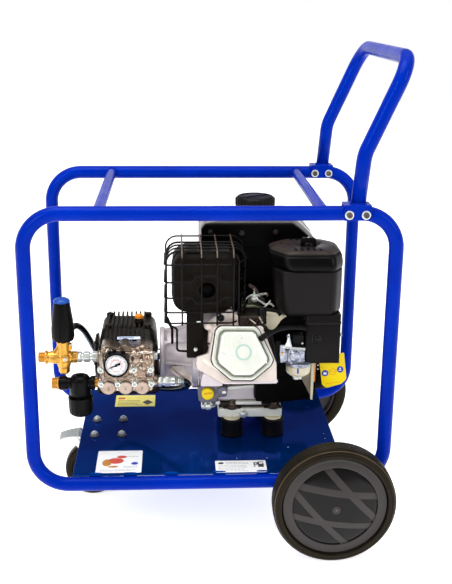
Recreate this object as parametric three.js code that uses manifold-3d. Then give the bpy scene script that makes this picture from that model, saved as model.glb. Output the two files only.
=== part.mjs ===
// Petrol pressure washer on a tubular wheeled frame: engine, triplex pump, unloader, filter and hose.
// Millimetres, +Z up. While it is built, X runs along the side loops from the pump (-X) to the wheels (+X),
// Y = 0 is the middle plane, and z = 0 is the centreline of the bottom tubes. The finished group is then
// moved so that the origin is the bottom centre of its bounding box.
import * as THREE from 'three';
import { mergeVertices } from 'three/addons/utils/BufferGeometryUtils.js';
import Module from 'manifold-3d';

const wasm = await Module();
wasm.setup();

// ---------------------------------------------------------------- driving dimensions
const GAP = 0.3; // clearance between touching pieces
const TUBE = { radius: 14.3, sides: 10, bendSteps: 4 };
const LOOP = { halfLength: 355.5, height: 561, y: 227.5, bend: 70 };
const TOP_BAR = { x: 214, radius: 11 };
const PLATE = { x: 280, y: 225, bottom: 14.6, top: 17.6 };
const PLATE_HOLES = [[198, 57.5], [198, 31], [262, 57.6], [262, 31.7], [262, -40], [261, -66], [174, -108],
  [123, -157], [59, -156], [245, 99], [243, -106]];
const HANDLE = { foot: [277, 577], bend: [284.8, 672], grip: [362.5, 847.6], bends: [80, 55] };
const SADDLE = { x: [249, 300], z: [550, 579.9], half: 18.9, wall: 4, boltX: [258, 290] };
const BOLT_RADIUS = 4; // M8
const AXLE = { radius: 8, half: 305.6, bracketY: 200 };
const WHEEL = { x: 245.3, z: -15.5, radius: 124, inner: 266.4, outer: 315.6, rim: 96, cover: 105, sides: 28 };
const GROUND = WHEEL.z - WHEEL.radius;
const CASTER = {
  x: -220, boltX: 30, boltY: 40, plateBottom: 11, trail: 38.5, radius: 62.5, half: 19, seat: 45,
};
const CASTER_Z = GROUND + CASTER.radius;
const PEDAL = { x: -289, z: 4 };

const CRANK = { y: 32, z: 183 }; // engine crankshaft, parallel to X; the pump shaft is in line with it
const MOUNT = { x: [55, 146], y: [-38, 129], radius: 25, top: 57.6, washer: 59.6 };
const FOOT = { x: [24, 158], y: [-44, 144], z: [60, 82] };
const CYLINDER_TILT = THREE.MathUtils.degToRad(20);
const CASE = { left: -16, right: 155, chamber: 58 };
const DIPSTICK = { x: 0.5, z: 124, y: -54 };
const FAN = { x: [155.3, 238], radius: 95, wall: 3 };
const RECOIL = { x: [238.3, 288], radius: 82 };
const HEAD_OUTLINE = [[25, -60], [138, -60], [138, -20], [112, 50], [100, 57], [18, 57], [8, 48], [-2, 2],
  [-28, -6], [-28, -29]];
const MUFFLER = { x: [-75, 60], y: [-110, 5], z: [323, 447] };
const GUARD = { x: [-86, 76], front: -127, back: 22, z: [304, 460], wire: 2.2 };
const TANK = { y: [42.3, 205], z: 392, neck: [112, 124], neckTop: 502 };
const SHROUD = { y: [28.5, 42] };
const CLEANER = { z: [312, 411], front: -106, back: 24, x: [153, 281], knob: [212, -42] };
const CLEANER_TOP = 455;
const CARB = { x: 196, y: -92, bowl: 26 };

const PUMP = { left: -242, right: -104.3, front: -48, back: 88, bottom: 118, top: 262 };
const PUMP_HEAD = { x: [-229, -114.5], port: -232.6, front: -105, z: [145, 250] };
const OIL_CAP = [-149, 14];
const VALVE_X = [-211, -175, -140];
const GAUGE = { x: -191.5, z: 222, radius: 26.3, front: -140 };
const UNLOADER = { x: -305, y: -80, z: 220 };
const FILTER = { x: -272, y: -90, z: 165, radius: 22.5, bowl: 26, bowlZ: [93, 135] };
const INLET_PLUG = { y: -80, z: 163 };
const HOSE = { radius: 7, sides: 8, steps: 34 };
const HOSE_ROUTE = [[-305, -52, 236], [-305, -42, 236], [-303, -28, 246], [-296, -16, 260],
  [-284, -2, 263], [-272, 22, 244], [-262, 56, 210], [-255, 88, 178], [-238, 101, 150],
  [-214, 106, 124], [-186, 99, 105], [-154, 74, 99], [-116, 34, 102], [-80, 2, 111],
  [-58, -26, 124], [-46, -50, 138], [-43, -69, 151], [-50, -79, 161], [-60, -80, 163],
  [-69.6, -80, 163]];

// ---------------------------------------------------------------- geometry helpers
const v3 = (x, y, z) => new THREE.Vector3(x, y, z);

// Matrices that stand a shape's own third axis along a named axis of the machine.
const STANDING = {
  x: new THREE.Matrix4().makeBasis(v3(0, 1, 0), v3(0, 0, 1), v3(1, 0, 0)),
  y: new THREE.Matrix4().makeBasis(v3(1, 0, 0), v3(0, 0, 1), v3(0, 1, 0)),
  z: new THREE.Matrix4(),
};

function signedVolume(position, index) {
  const [a, b, c] = [v3(), v3(), v3()];
  let volume = 0;
  for (let i = 0; i < index.length; i += 3) {
    a.fromBufferAttribute(position, index[i]);
    b.fromBufferAttribute(position, index[i + 1]);
    c.fromBufferAttribute(position, index[i + 2]);
    volume += a.dot(b.cross(c)) / 6;
  }
  return volume;
}

// The radius that fits inside a bore of this many sides, less the gap.
const within = (radius, sides) => radius * Math.cos(Math.PI / sides) - GAP;

// A closed three.js geometry as a solid, with its faces turned outward.
function solidOf(geometry, matrix = new THREE.Matrix4()) {
  const bare = geometry.clone().applyMatrix4(matrix);
  bare.deleteAttribute('normal');
  bare.deleteAttribute('uv');
  const merged = mergeVertices(bare, 1e-3);
  const triangles = [];
  for (let i = 0; i < merged.index.count; i += 3) {
    const [a, b, c] = [0, 1, 2].map((k) => merged.index.getX(i + k));
    if (a !== b && b !== c && c !== a) triangles.push([a, b, c]);
  }
  const inward = signedVolume(merged.attributes.position, triangles.flat()) < 0;
  const triVerts = new Uint32Array(triangles.flatMap(([a, b, c]) => (inward ? [a, c, b] : [a, b, c])));
  const vertProperties = new Float32Array(merged.attributes.position.array);
  return new wasm.Manifold(new wasm.Mesh({ numProp: 3, vertProperties, triVerts }));
}

function geometryOf(solid) {
  const mesh = solid.getMesh();
  const geometry = new THREE.BufferGeometry();
  geometry.setAttribute('position', new THREE.BufferAttribute(mesh.vertProperties, 3));
  geometry.setIndex(new THREE.BufferAttribute(mesh.triVerts, 1));
  geometry.computeVertexNormals();
  return geometry;
}

const join = (first, ...others) => others.reduce((sum, piece) => sum.add(piece), first);
const cut = (first, ...others) => others.reduce((rest, piece) => rest.subtract(piece), first);

function block([x0, x1], [y0, y1], [z0, z1]) {
  const box = new THREE.BoxGeometry(x1 - x0, y1 - y0, z1 - z0);
  return solidOf(box.translate((x0 + x1) / 2, (y0 + y1) / 2, (z0 + z1) / 2));
}

// An outline drawn in the two other axes (in X, Y, Z order), extruded along one axis.
function slab(axis, outline, [from, to], matrix = new THREE.Matrix4()) {
  const shape = new THREE.Shape(outline.map(([u, v]) => new THREE.Vector2(u, v)));
  const geometry = new THREE.ExtrudeGeometry(shape, { depth: to - from, bevelEnabled: false });
  geometry.translate(0, 0, from);
  return solidOf(geometry, matrix.clone().multiply(STANDING[axis]));
}

// A rectangle with its corners cut off.
function chamfered([x0, x1], [y0, y1], corner) {
  return [[x0 + corner, y0], [x1 - corner, y0], [x1, y0 + corner], [x1, y1 - corner],
    [x1 - corner, y1], [x0 + corner, y1], [x0, y1 - corner], [x0, y0 + corner]];
}

// An outline scaled about a centre.
const scaled = (outline, [u0, v0], k) => outline.map(([u, v]) => [u0 + (u - u0) * k, v0 + (v - v0) * k]);

// A turned shape: profile points are [radius, distance along the axis]; centre gives the two other axes.
// A profile that starts off the axis is a ring, and closes on itself.
function turned(axis, [u, v], profile, sides = 16, matrix = new THREE.Matrix4()) {
  const points = profile.map(([radius, along]) => new THREE.Vector2(radius, along));
  if (profile[0][0] > 0) points.push(points[0].clone());
  const geometry = new THREE.LatheGeometry(points, sides);
  geometry.applyMatrix4(new THREE.Matrix4().makeBasis(v3(1, 0, 0), v3(0, 0, 1), v3(0, -1, 0)));
  geometry.translate(u, v, 0);
  return solidOf(geometry, matrix.clone().multiply(STANDING[axis]));
}

const rod = (axis, centre, radius, [from, to], sides = 12, matrix = undefined) =>
  turned(axis, centre, [[0, from], [radius, from], [radius, to], [0, to]], sides, matrix);

// A route through corner points with round bends. It is sampled at the ends of its straight stretches and
// evenly round each bend.
class BentPath extends THREE.Curve {
  constructor(corners, bends, bendSteps, closed = false) {
    super();
    this.stops = [];
    const points = corners.map((corner) => v3(...corner));
    const last = points.length - 1;
    points.forEach((point, i) => {
      const before = points[i === 0 ? last : i - 1];
      const after = points[i === last ? 0 : i + 1];
      const [start, end] = [!closed && i === 0, !closed && i === last];
      if (start) this.stops.push({ point, tangent: after.clone().sub(point).normalize() });
      else if (end) this.stops.push({ point, tangent: point.clone().sub(before).normalize() });
      else this.addBend(before, point, after, Array.isArray(bends) ? bends[i] : bends, bendSteps);
    });
    if (closed) this.stops.push(this.stops[0]);
    this.steps = this.stops.length - 1;
  }

  addBend(before, corner, after, radius, bendSteps) {
    const inward = corner.clone().sub(before).normalize();
    const outward = after.clone().sub(corner).normalize();
    const angle = inward.angleTo(outward);
    const side = outward.clone().addScaledVector(inward, -inward.dot(outward)).normalize();
    const start = corner.clone().addScaledVector(inward, -radius * Math.tan(angle / 2));
    const centre = start.clone().addScaledVector(side, radius);
    for (let step = 0; step <= bendSteps; step += 1) {
      const turn = (angle * step) / bendSteps;
      const point = centre.clone().addScaledVector(side, -radius * Math.cos(turn));
      point.addScaledVector(inward, radius * Math.sin(turn));
      const tangent = inward.clone().multiplyScalar(Math.cos(turn)).addScaledVector(side, Math.sin(turn));
      this.stops.push({ point, tangent });
    }
  }

  getPointAt(t) { return this.stops[Math.round(t * this.steps)].point.clone(); }

  getTangentAt(t) { return this.stops[Math.round(t * this.steps)].tangent.clone(); }
}

function roundSection(radius, sides) {
  const corner = (i) => (i * 2 * Math.PI) / sides;
  const points = Array.from({ length: sides }, (_, i) =>
    new THREE.Vector2(radius * Math.cos(corner(i)), radius * Math.sin(corner(i))));
  return new THREE.Shape(points);
}

function pipe(path, steps, radius, sides) {
  return solidOf(new THREE.ExtrudeGeometry(roundSection(radius, sides), {
    steps, bevelEnabled: false, extrudePath: path,
  }));
}

function bentRod(corners, bends, bendSteps, radius, sides) {
  const path = new BentPath(corners, bends, bendSteps);
  return pipe(path, path.steps, radius, sides);
}

// ---------------------------------------------------------------- materials
const material = (color, roughness, metalness = 0) =>
  new THREE.MeshStandardMaterial({ color, roughness, metalness, flatShading: true });
const BLUE = material(0x0a2fae, 0.25);
const BLACK = material(0x17171a, 0.5);
const RUBBER = material(0x1d1b19, 0.85);
const CAST = material(0xb9b7b8, 0.45, 0.9);
const STEEL = material(0xd0d2d0, 0.3, 1);
const NICKEL = material(0xb8a592, 0.3, 1);
const BRASS = material(0xd79b30, 0.3, 1);
const YELLOW = material(0xf5d400, 0.4);
const CREAM = material(0xe9e7e0, 0.35);

const part = new THREE.Group();

function add(name, solid, finish) {
  const mesh = new THREE.Mesh(geometryOf(solid), finish);
  mesh.name = name;
  part.add(mesh);
}

// ---------------------------------------------------------------- frame
function sideLoop(y) {
  const { halfLength, height, bend } = LOOP;
  const plan = [[-halfLength, 0], [halfLength, 0], [halfLength, height], [-halfLength, height]];
  const corners = plan.map(([x, z]) => [x, y, z]);
  const path = new BentPath(corners, bend, TUBE.bendSteps, true);
  const tube = new THREE.TubeGeometry(path, path.steps, TUBE.radius, TUBE.sides, true);
  const across = [y - 30, y + 30];
  const boltHoles = SADDLE.boltX.map((x) => rod('y', [x, height], BOLT_RADIUS + 0.9, across, 6));
  const axleNotch = rod('y', [WHEEL.x, WHEEL.z], AXLE.radius + GAP, across);
  return cut(solidOf(tube), axleNotch, ...boltHoles);
}

// A cross tube between the loops, with both ends cut to fit round their tubes.
function topBar(x) {
  const bar = rod('y', [x, LOOP.height], TOP_BAR.radius, [-LOOP.y, LOOP.y]);
  const along = [x - 20, x + 20];
  const ends = [-LOOP.y, LOOP.y].map((y) => rod('x', [y, LOOP.height], TUBE.radius + GAP, along, 24));
  return cut(bar, ...ends);
}

function basePlate() {
  const sheet = block([-PLATE.x, PLATE.x], [-PLATE.y, PLATE.y], [PLATE.bottom, PLATE.top]);
  const brackets = [-AXLE.bracketY, AXLE.bracketY].map((y) =>
    block([WHEEL.x - 19, WHEEL.x + 19], [y - 3, y + 3], [WHEEL.z - 16, PLATE.bottom + 1]));
  const axleHole = rod('y', [WHEEL.x, WHEEL.z], AXLE.radius + GAP, [-LOOP.y, LOOP.y]);
  const through = [PLATE.bottom - 1, PLATE.top + 1];
  const holes = PLATE_HOLES.map((centre) => rod('z', centre, 3.5, through, 6));
  const casterHoles = casterBolts().map((centre) => rod('z', centre, BOLT_RADIUS + 0.9, through, 6));
  return cut(join(sheet, ...brackets), axleHole, ...holes, ...casterHoles);
}

// The push handle: a bent tube with an inverted-U saddle under each leg, and the bolts through each saddle.
function handle() {
  const leg = (y) => [HANDLE.foot, HANDLE.bend, HANDLE.grip].map(([x, z]) => [x, y, z]);
  const corners = [...leg(-LOOP.y), ...leg(LOOP.y).reverse()];
  const [lower, upper] = HANDLE.bends;
  const tube = bentRod(corners, [0, lower, upper, upper, lower, 0], TUBE.bendSteps, TUBE.radius, TUBE.sides);
  const fastenings = (y) => [saddle(y), ...SADDLE.boltX.map((x) => saddleBolt(x, y))];
  return join(tube, ...fastenings(-LOOP.y), ...fastenings(LOOP.y));
}

function saddle(y) {
  const { half, wall, z: [bottom, top] } = SADDLE;
  const inner = half - wall;
  const outline = [[-half, bottom], [-inner, bottom], [-inner, top - wall], [inner, top - wall],
    [inner, bottom], [half, bottom], [half, top], [-half, top]];
  return slab('x', outline.map(([u, v]) => [y + u, v]), SADDLE.x);
}

function saddleBolt(x, y) {
  const centre = [x, LOOP.height];
  const face = SADDLE.half;
  const shank = rod('y', centre, BOLT_RADIUS, [y - face - 4, y + face + 4], 6);
  const washers = [[-face - 1.5, -face + 1], [face - 1, face + 1.5]].map(([from, to]) =>
    rod('y', centre, 8.5, [y + from, y + to], 10));
  const head = rod('y', centre, 6.5, [y - face - 7, y - face - 1], 8);
  const nut = rod('y', centre, 7.2, [y + face + 1, y + face + 7.5], 6);
  return join(shank, ...washers, head, nut);
}

function rearAxle() {
  return rod('y', [WHEEL.x, WHEEL.z], AXLE.radius, [-AXLE.half, AXLE.half]);
}

// ---------------------------------------------------------------- rear wheels
// Each is drawn on the far side and mirrored for the near side: side is +1 or -1.
function wheelRing(side, profile, sides) {
  return turned('y', [WHEEL.x, WHEEL.z], profile.map(([radius, along]) => [radius, side * along]), sides);
}

function tyre(side) {
  const { radius, inner, outer, rim, cover } = WHEEL;
  const recess = outer - 9.5;
  return wheelRing(side, [[rim, inner + 5], [112, inner], [radius - 3, inner + 4], [radius, inner + 12],
    [radius, outer - 12], [radius - 3, outer - 4], [112, outer], [cover + 1, outer - 1], [cover + 1, recess],
    [rim, recess]], WHEEL.sides);
}

function rim(side) {
  const { inner, outer } = WHEEL;
  const bore = AXLE.radius + GAP;
  const edge = within(WHEEL.rim, WHEEL.sides);
  return wheelRing(side, [[bore, inner - 12], [20, inner - 12], [22, inner + 12], [edge - 6, inner + 16],
    [edge - 4, inner + 6], [edge, inner + 6], [edge, outer - 10], [edge - 5, outer - 10],
    [edge - 6, inner + 22], [20, inner + 20], [20, outer - 11], [bore, outer - 11]], 16);
}

function wheelCover(side) {
  const { outer, cover } = WHEEL;
  return wheelRing(side, [[0, outer - 9.2], [cover, outer - 9.2], [cover, outer - 6], [88, outer - 4.5],
    [66, outer + 2.4], [44, outer + 7.4], [22, outer + 10.4], [0, outer + 11.4]], WHEEL.sides);
}

// ---------------------------------------------------------------- caster
function casterBolts() {
  return [-1, 1].flatMap((i) => [-1, 1].map((j) => [CASTER.x + i * CASTER.boltX, j * CASTER.boltY]));
}

// The top plate, with the four bolts that hold it to the base plate.
function casterPlate() {
  const { x, plateBottom } = CASTER;
  const plateTop = PLATE.bottom - GAP;
  const plate = block([x - 46, x + 46], [-54, 54], [plateBottom, plateTop]);
  const seat = PLATE.top + GAP;
  const bolt = (centre) => join(
    rod('z', centre, BOLT_RADIUS, [plateBottom, seat + 2], 6),
    rod('z', centre, 9, [seat, seat + 1.6], 10),
    rod('z', centre, 7.4, [seat + 1, seat + 8], 6),
  );
  return join(plate, ...casterBolts().map(bolt));
}

function casterFork() {
  const { x, trail, plateBottom, half } = CASTER;
  const wheelX = x - trail;
  const race = rod('z', [x, 0], 30, [2, plateBottom - GAP], 20);
  const leg = [[-298, -6], [-298, 9], [-284, 9], [-284, 3], [-192, 3], [-200, -14], [-243, -70],
    [-247, CASTER_Z - 10], [-257, CASTER_Z - 14], [-268, CASTER_Z - 9], [-273, -68], [-284, -24]];
  const crown = block([-284, -192], [-half - 6, half + 6], [-3, 3]);
  const legs = [[-half - 6, -half - 3], [half + 3, half + 6]].map((span) => slab('y', leg, span));
  const axleHole = rod('y', [wheelX, CASTER_Z], 5 + GAP, [-40, 40], 10);
  const pedalHole = rod('y', [PEDAL.x, PEDAL.z], 2.5 + GAP, [-40, 40], 8);
  return cut(join(race, crown, ...legs), axleHole, pedalHole);
}

function casterAxle() {
  const centre = [CASTER.x - CASTER.trail, CASTER_Z];
  const face = CASTER.half + 6 + GAP;
  return join(rod('y', centre, 5, [-face - 2, face + 2], 10),
    rod('y', centre, 8, [-face - 6, -face], 6), rod('y', centre, 8, [face, face + 6], 6));
}

function casterTyre() {
  const { x, trail, radius, half, seat } = CASTER;
  return turned('y', [x - trail, CASTER_Z], [[seat, -half + 2], [52, -half], [radius - 4, -half + 2],
    [radius, -half + 8], [radius, half - 8], [radius - 4, half - 2], [52, half], [seat, half - 2]], 24);
}

function casterHub() {
  const { x, trail, half, seat } = CASTER;
  const edge = within(seat, 24);
  return turned('y', [x - trail, CASTER_Z], [[5 + GAP, -half - 2.5], [11, -half - 2.5], [12, -6], [40, -6],
    [edge, -half + 3], [edge, half - 3], [40, 6], [12, 6], [11, half + 2.5], [5 + GAP, half + 2.5]], 16);
}

function brakePedal() {
  const { x, z } = PEDAL;
  const inside = CASTER.half + 2.6;
  const barrel = rod('y', [x, z], 4, [-inside, inside], 10);
  const pin = rod('y', [x, z], 2.5, [-inside - 6, inside + 6], 8);
  const plate = slab('y', [[x - 1, z + 1], [x - 1, z + 4], [x - 14, z + 5], [x - 42, z - 2], [x - 43, z - 5],
    [x - 14, z + 2]], [-inside, inside]);
  return join(barrel, pin, plate);
}

// ---------------------------------------------------------------- engine
// Shapes on the tilted cylinder are drawn with -Y outward from the crankshaft and +Z across it.
const onCylinder = new THREE.Matrix4().makeTranslation(0, CRANK.y, CRANK.z)
  .multiply(new THREE.Matrix4().makeRotationX(-CYLINDER_TILT));

function tilted([x0, x1], [out0, out1], [w0, w1]) {
  return slab('x', [[-out1, w0], [-out0, w0], [-out0, w1], [-out1, w1]], [x0, x1], onCylinder);
}

function crankcase() {
  const { left, right, chamber } = CASE;
  const axis = [CRANK.y, CRANK.z];
  const profile = [[-26, 82], [-26, 150], [-20, 215], [0, 250], [90, 250], [117, 205], [117, 82]];
  const body = slab('x', profile, [20, right]);
  const sideCover = rod('x', axis, 75, [left, 21], 20);
  const foot = block(FOOT.x, FOOT.y, FOOT.z);
  const fillerOutline = [[-15.8, 96], [-15.8, 138], [26, 140], [38, 120], [38, 90], [0, 88]];
  const filler = slab('y', fillerOutline, [DIPSTICK.y, 0]);
  const drain = rod('y', [76, 69], 8, [FOOT.y[0] - 6, FOOT.y[0] + 2], 6);
  const room = [
    rod('x', axis, chamber, [6, right - 8], 16),
    rod('x', axis, 13, [left - 1, right + 1]),
    rod('y', [DIPSTICK.x, DIPSTICK.z], 8.3, [DIPSTICK.y - 1, DIPSTICK.y + 18]),
    tilted([-60, 200], [59.7, 260], [-78, 120]),
    ...mountPlaces().map((centre) => rod('z', centre, 5.5, [50, 90], 10)),
  ];
  return cut(join(body, sideCover, foot, filler, drain), ...room);
}

function cylinderHead() {
  const barrel = tilted([-2, 122], [60, 134], [-55, 55]);
  const fins = [66, 78, 90, 102, 114].map((out) => tilted([-14, 136], [out, out + 4], [-60, 60]));
  const head = slab('y', HEAD_OUTLINE, [-205, -126], onCylinder);
  const controlBracket = block([100, 124], [-58, -54], [262, 344]);
  return join(barrel, head, controlBracket, ...fins);
}

// The rocker cover: a flange and a bevelled dome of the same outline.
function rockerCover() {
  const outline = [[45, -54], [87, -55], [122, -26], [128, -14], [100, 46], [93, 53.5], [23, 54.5], [15, 46],
    [6, -12], [10, -24]];
  const centre = [66, 0];
  const step = (k, span) => slab('y', scaled(outline, centre, k), span, onCylinder);
  return join(step(1, [-210, -205.3]), step(0.93, [-224, -209]), step(0.84, [-231, -223]));
}

function muffler() {
  const { x, y: [front, back], z } = MUFFLER;
  const shell = slab('y', chamfered(x, z, 16), [front + 8, back]);
  const faceOutline = chamfered([x[0] + 7, x[1] - 7], [z[0] + 7, z[1] - 7], 14);
  const face = slab('y', faceOutline, [front, front + 9]);
  const outlet = rod('y', [-3, 373], 17, [front - 3, front + 2], 16);
  const bore = rod('y', [-3, 373], 13, [front - 4, front + 30], 16);
  const pipeDown = block([20, 52], [-104, -72], [300.5, 330]);
  const strap = block([-46, -30], [-100, -94], [232, 330]);
  const clearOfHead = tilted([-60, 200], [0, 260], [-90, 60.3])
    .intersect(block([0, 200], [-300, 100], [0, 400]));
  return cut(join(shell, face, outlet, pipeDown, strap), bore, clearOfHead);
}

// A cage of bent wires. The upright wires pass outside the level ones, which turn back round both sides.
function mufflerGuard() {
  const { x: [left, right], front, back, z: [bottom, top], wire } = GUARD;
  const inside = front + wire * 1.2;
  const sideEnd = front + 100;
  const levels = [[308, 0], [331, 0], [362, -12], [395, 13], [432, 0]].map(([z, jog]) => {
    const dip = jog ? [[-30, z], [-21, z + jog], [15, z + jog], [24, z]] : [];
    const facing = [[left, z], ...dip, [right, z]].map(([x, height]) => [x, inside, height]);
    const corners = [[left, sideEnd, z], ...facing, [right, sideEnd, z]];
    const bends = corners.map((_, i) => (i === 1 || i === corners.length - 2 ? 16 : 1));
    return bentRod(corners, bends, 1, wire, 4);
  });
  const uprights = [-54.5, -14.6, 18, 53].map((x) =>
    bentRod([[x, front, bottom], [x, front, top - 18], [x, front + 22, top], [x, back, top]], 8, 1,
      wire, 4));
  const step = wire * 1.2;
  const hoop = [[left + step, bottom], [left + step, top - step], [right - step, top - step],
    [right - step, bottom]];
  const across = [front + 50, sideEnd - 3, back - 3].map((y) =>
    bentRod(hoop.map(([x, z]) => [x, y, z]), 16, 1, wire, 4));
  return join(uprights[0], ...uprights.slice(1), ...levels, ...across);
}

function fuelTank() {
  const { y, z, neck, neckTop } = TANK;
  const outline = [[-14, z + 8], [-14, 470], [-4, 484], [20, 488], [180, 488], [200, 470], [226, 445],
    [226, z + 8], [218, z], [-6, z]];
  const hollow = scaled(outline, [106, 440], 0.93);
  const shell = join(slab('y', outline, y), rod('z', neck, 32, [480, neckTop], 20));
  return cut(shell, slab('y', hollow, [y[0] + 4, y[1] - 4]), rod('z', neck, 27, [470, neckTop + 1], 20));
}

function fuelCap() {
  const { neck, neckTop } = TANK;
  const rest = neckTop + GAP;
  return turned('z', neck, [[0, rest], [43, rest], [45, rest + 3], [44, rest + 19], [38, rest + 24],
    [0, rest + 25]], 24);
}

function tankShroud() {
  const outline = [[-12, 306], [-12, 470], [-3, 481], [176, 481], [196, 466], [222, 444], [222, 400],
    [150, 306]];
  const hollow = [[-8, 300], [-8, 468], [0, 477], [172, 477], [218, 442], [218, 402], [146, 300]];
  const support = block([22, 148], [SHROUD.y[1] - 4, SHROUD.y[1]], [250.3, 320]);
  return cut(join(slab('y', outline, SHROUD.y), support),
    slab('y', hollow, [SHROUD.y[0] + 3, SHROUD.y[1] - 4]));
}

function cleanerPlan(grow) {
  const { front, back, x: [left, right] } = CLEANER;
  return [[left + 16 - grow, front - grow], [right - 20 + grow, front - grow], [right + grow, front + 34],
    [right + grow, back - 24], [right - 22, back + grow], [left + 26, back + grow], [left - grow, back - 30],
    [left - grow, front + 34]];
}

function cleanerBody() {
  const { z: [bottom, top], x, front } = CLEANER;
  const upper = slab('z', cleanerPlan(0), [bottom, top]);
  const duct = block([203, x[1] - 2], [front + 2, -66.5], [208, bottom + 1]);
  const room = slab('z', cleanerPlan(-4), [bottom + 5, top + 1]);
  const inlet = block([208, x[1] - 7], [front + 6, -71], [213, bottom + 6]);
  const port = rod('x', [CARB.y, 226], 13, [195, 210]);
  return cut(join(upper, duct), room, inlet, port);
}

function filterElement() {
  const { knob, z: [bottom, top] } = CLEANER;
  const [inner, outer] = [26, 50];
  const section = [[inner, bottom + 5.5], [outer, bottom + 5.5], [outer, top - 3], [inner, top - 3]];
  return turned('z', knob, section, 20);
}

function cleanerCover() {
  const { knob } = CLEANER;
  const rest = CLEANER.z[1] + GAP;
  const widePlan = cleanerPlan(3).map(([x, y]) => [x < 200 ? x - (y > -100 ? 16 : 4) : x, y]);
  const step = (k, span) => slab('z', scaled(widePlan, knob, k), span);
  return cut(join(step(1, [rest, rest + 16]), step(0.93, [rest + 15, rest + 30]),
    step(0.82, [rest + 29, CLEANER_TOP])), rod('z', knob, 4.5, [rest + 20, CLEANER_TOP + 1]));
}

function cleanerKnob() {
  const { knob } = CLEANER;
  const rest = CLEANER_TOP + GAP;
  const wing = block([knob[0] - 15.5, knob[0] + 15.5], [knob[1] - 6, knob[1] + 6], [rest + 2, rest + 20]);
  const stud = rod('z', knob, 4, [rest - 14, rest + 1], 8);
  const studEnd = rod('z', knob, 3, [rest + 19, rest + 23], 8);
  return join(rod('z', knob, 12, [rest, rest + 12]), stud, wing, studEnd);
}

function carburetor() {
  const { x, y, bowl } = CARB;
  return join(
    turned('z', [x, y], [[0, 172], [6, 172], [6, 178], [16, 178], [bowl, 187], [bowl, 204], [14, 205],
      [14, 206], [0, 206]], 14),
    block([168, 202.7], [y - 24, y + 22], [203, 244]),
    block([144.3, 170], [y - 18, y + 16], [212, 240]),
    rod('z', [186, y - 8], 10, [240, 252]),
  );
}

function chokeLever() {
  const y = [CARB.y - 27.5, CARB.y - 24.3];
  const arm = [[173, 232], [179, 232], [172, 262], [168, 279], [162, 279], [165, 262]];
  return join(rod('y', [176, 232], 6, y, 10), slab('y', arm, y));
}

function throttleLever() {
  const y = [-61.5, -58.3];
  const arm = [[106, 334], [118, 334], [100, 366], [86, 374], [84, 368], [96, 360]];
  return join(rod('y', [112, 336], 9, y, 10), slab('y', arm, y));
}

function sparkPlugCap() {
  const profile = [[0, 60.3], [8, 60.3], [9.5, 66], [9.5, 90], [7, 96], [0, 96]];
  const boot = turned('z', [112, -165], profile, 12, onCylinder);
  const lead = rod('x', [-165, 88], 4, [112, 152], 8, onCylinder);
  return join(boot, lead);
}

function fanHousing() {
  const { x: [from, to], radius, wall } = FAN;
  const axis = [CRANK.y, CRANK.z];
  const drum = rod('x', axis, radius, [from, to], 24);
  const baffle = block([102, from + 8], [-62, -44.5], [114, 146]);
  const room = [rod('x', axis, radius - wall, [from - 1, to - 14], 24),
    rod('x', axis, radius - 30, [from, to + 1], 20)];
  return cut(join(drum, baffle), ...room);
}

function recoilCover() {
  const { x: [from, to], radius } = RECOIL;
  const axis = [CRANK.y, CRANK.z];
  const profile = [[0, from], [radius, from], [radius, to - 12], [radius - 10, to], [0, to]];
  const shell = turned('x', axis, profile, 24);
  const room = rod('x', axis, radius - 4, [from - 1, to - 14], 20);
  const slots = Array.from({ length: 6 }, (_, i) => {
    const angle = (i * Math.PI) / 3 + Math.PI / 6;
    const centre = [axis[0] + 46 * Math.cos(angle), axis[1] + 46 * Math.sin(angle)];
    return rod('x', centre, 10, [to - 20, to + 1], 6);
  });
  const guide = rod('z', [262, 60], 9, [250, 268]);
  return join(cut(shell, room, ...slots), cut(guide, rod('x', axis, radius - 4, [from - 1, to], 20)));
}

function recoilHandle() {
  return join(rod('z', [262, 60], 6, [268.4, 278]), rod('x', [60, 282], 7, [238, 286], 10));
}

function oilDipstick() {
  const centre = [DIPSTICK.x, DIPSTICK.z];
  const face = DIPSTICK.y - GAP;
  return join(rod('y', centre, 13.5, [face - 11, face], 16), rod('y', centre, 8, [face - 2, face + 14]));
}

function crankshaft() {
  const axis = [CRANK.y, CRANK.z];
  const throwRadius = 28;
  const web = (from) => slab('x', [[-26, -44], [26, -44], [24, 34], [0, 44], [-24, 34]].map(([u, v]) =>
    [axis[0] + u, axis[1] + v]), [from, from + 14]);
  return join(rod('x', axis, 12.5, [-56, 52]), rod('x', axis, 12.5, [88, 224]), web(38), web(88),
    rod('x', [axis[0], axis[1] + throwRadius], 15, [50, 90]));
}

function flywheel() {
  const axis = [CRANK.y, CRANK.z];
  const profile = [[12.8, 172], [84, 172], [84, 192], [60, 196], [30, 196], [30, 206], [12.8, 206]];
  const disc = turned('x', axis, profile, 24);
  const vanes = Array.from({ length: 6 }, (_, i) => {
    const angle = (i * Math.PI) / 3;
    const spoke = (radius, side) => [axis[0] + radius * Math.cos(angle) - side * Math.sin(angle),
      axis[1] + radius * Math.sin(angle) + side * Math.cos(angle)];
    return slab('x', [spoke(50, -1.5), spoke(82, -1.5), spoke(82, 1.5), spoke(50, 1.5)], [190, 212]);
  });
  return join(disc, ...vanes);
}

function mountPlaces() {
  return MOUNT.y.flatMap((y) => MOUNT.x.map((x) => [x, y]));
}

// A rubber block with its washer, and the stud and nut that hold the engine's foot.
function engineMount(centre) {
  const { radius, top, washer } = MOUNT;
  const nut = FOOT.z[1] + GAP;
  return join(
    turned('z', centre, [[0, PLATE.top + GAP], [radius, PLATE.top + GAP], [radius, top], [15, top],
      [15, washer], [0, washer]], 16),
    rod('z', centre, 5, [washer - 1, nut + 18], 6),
    rod('z', centre, 8.6, [nut, nut + 8], 6),
  );
}

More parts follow.
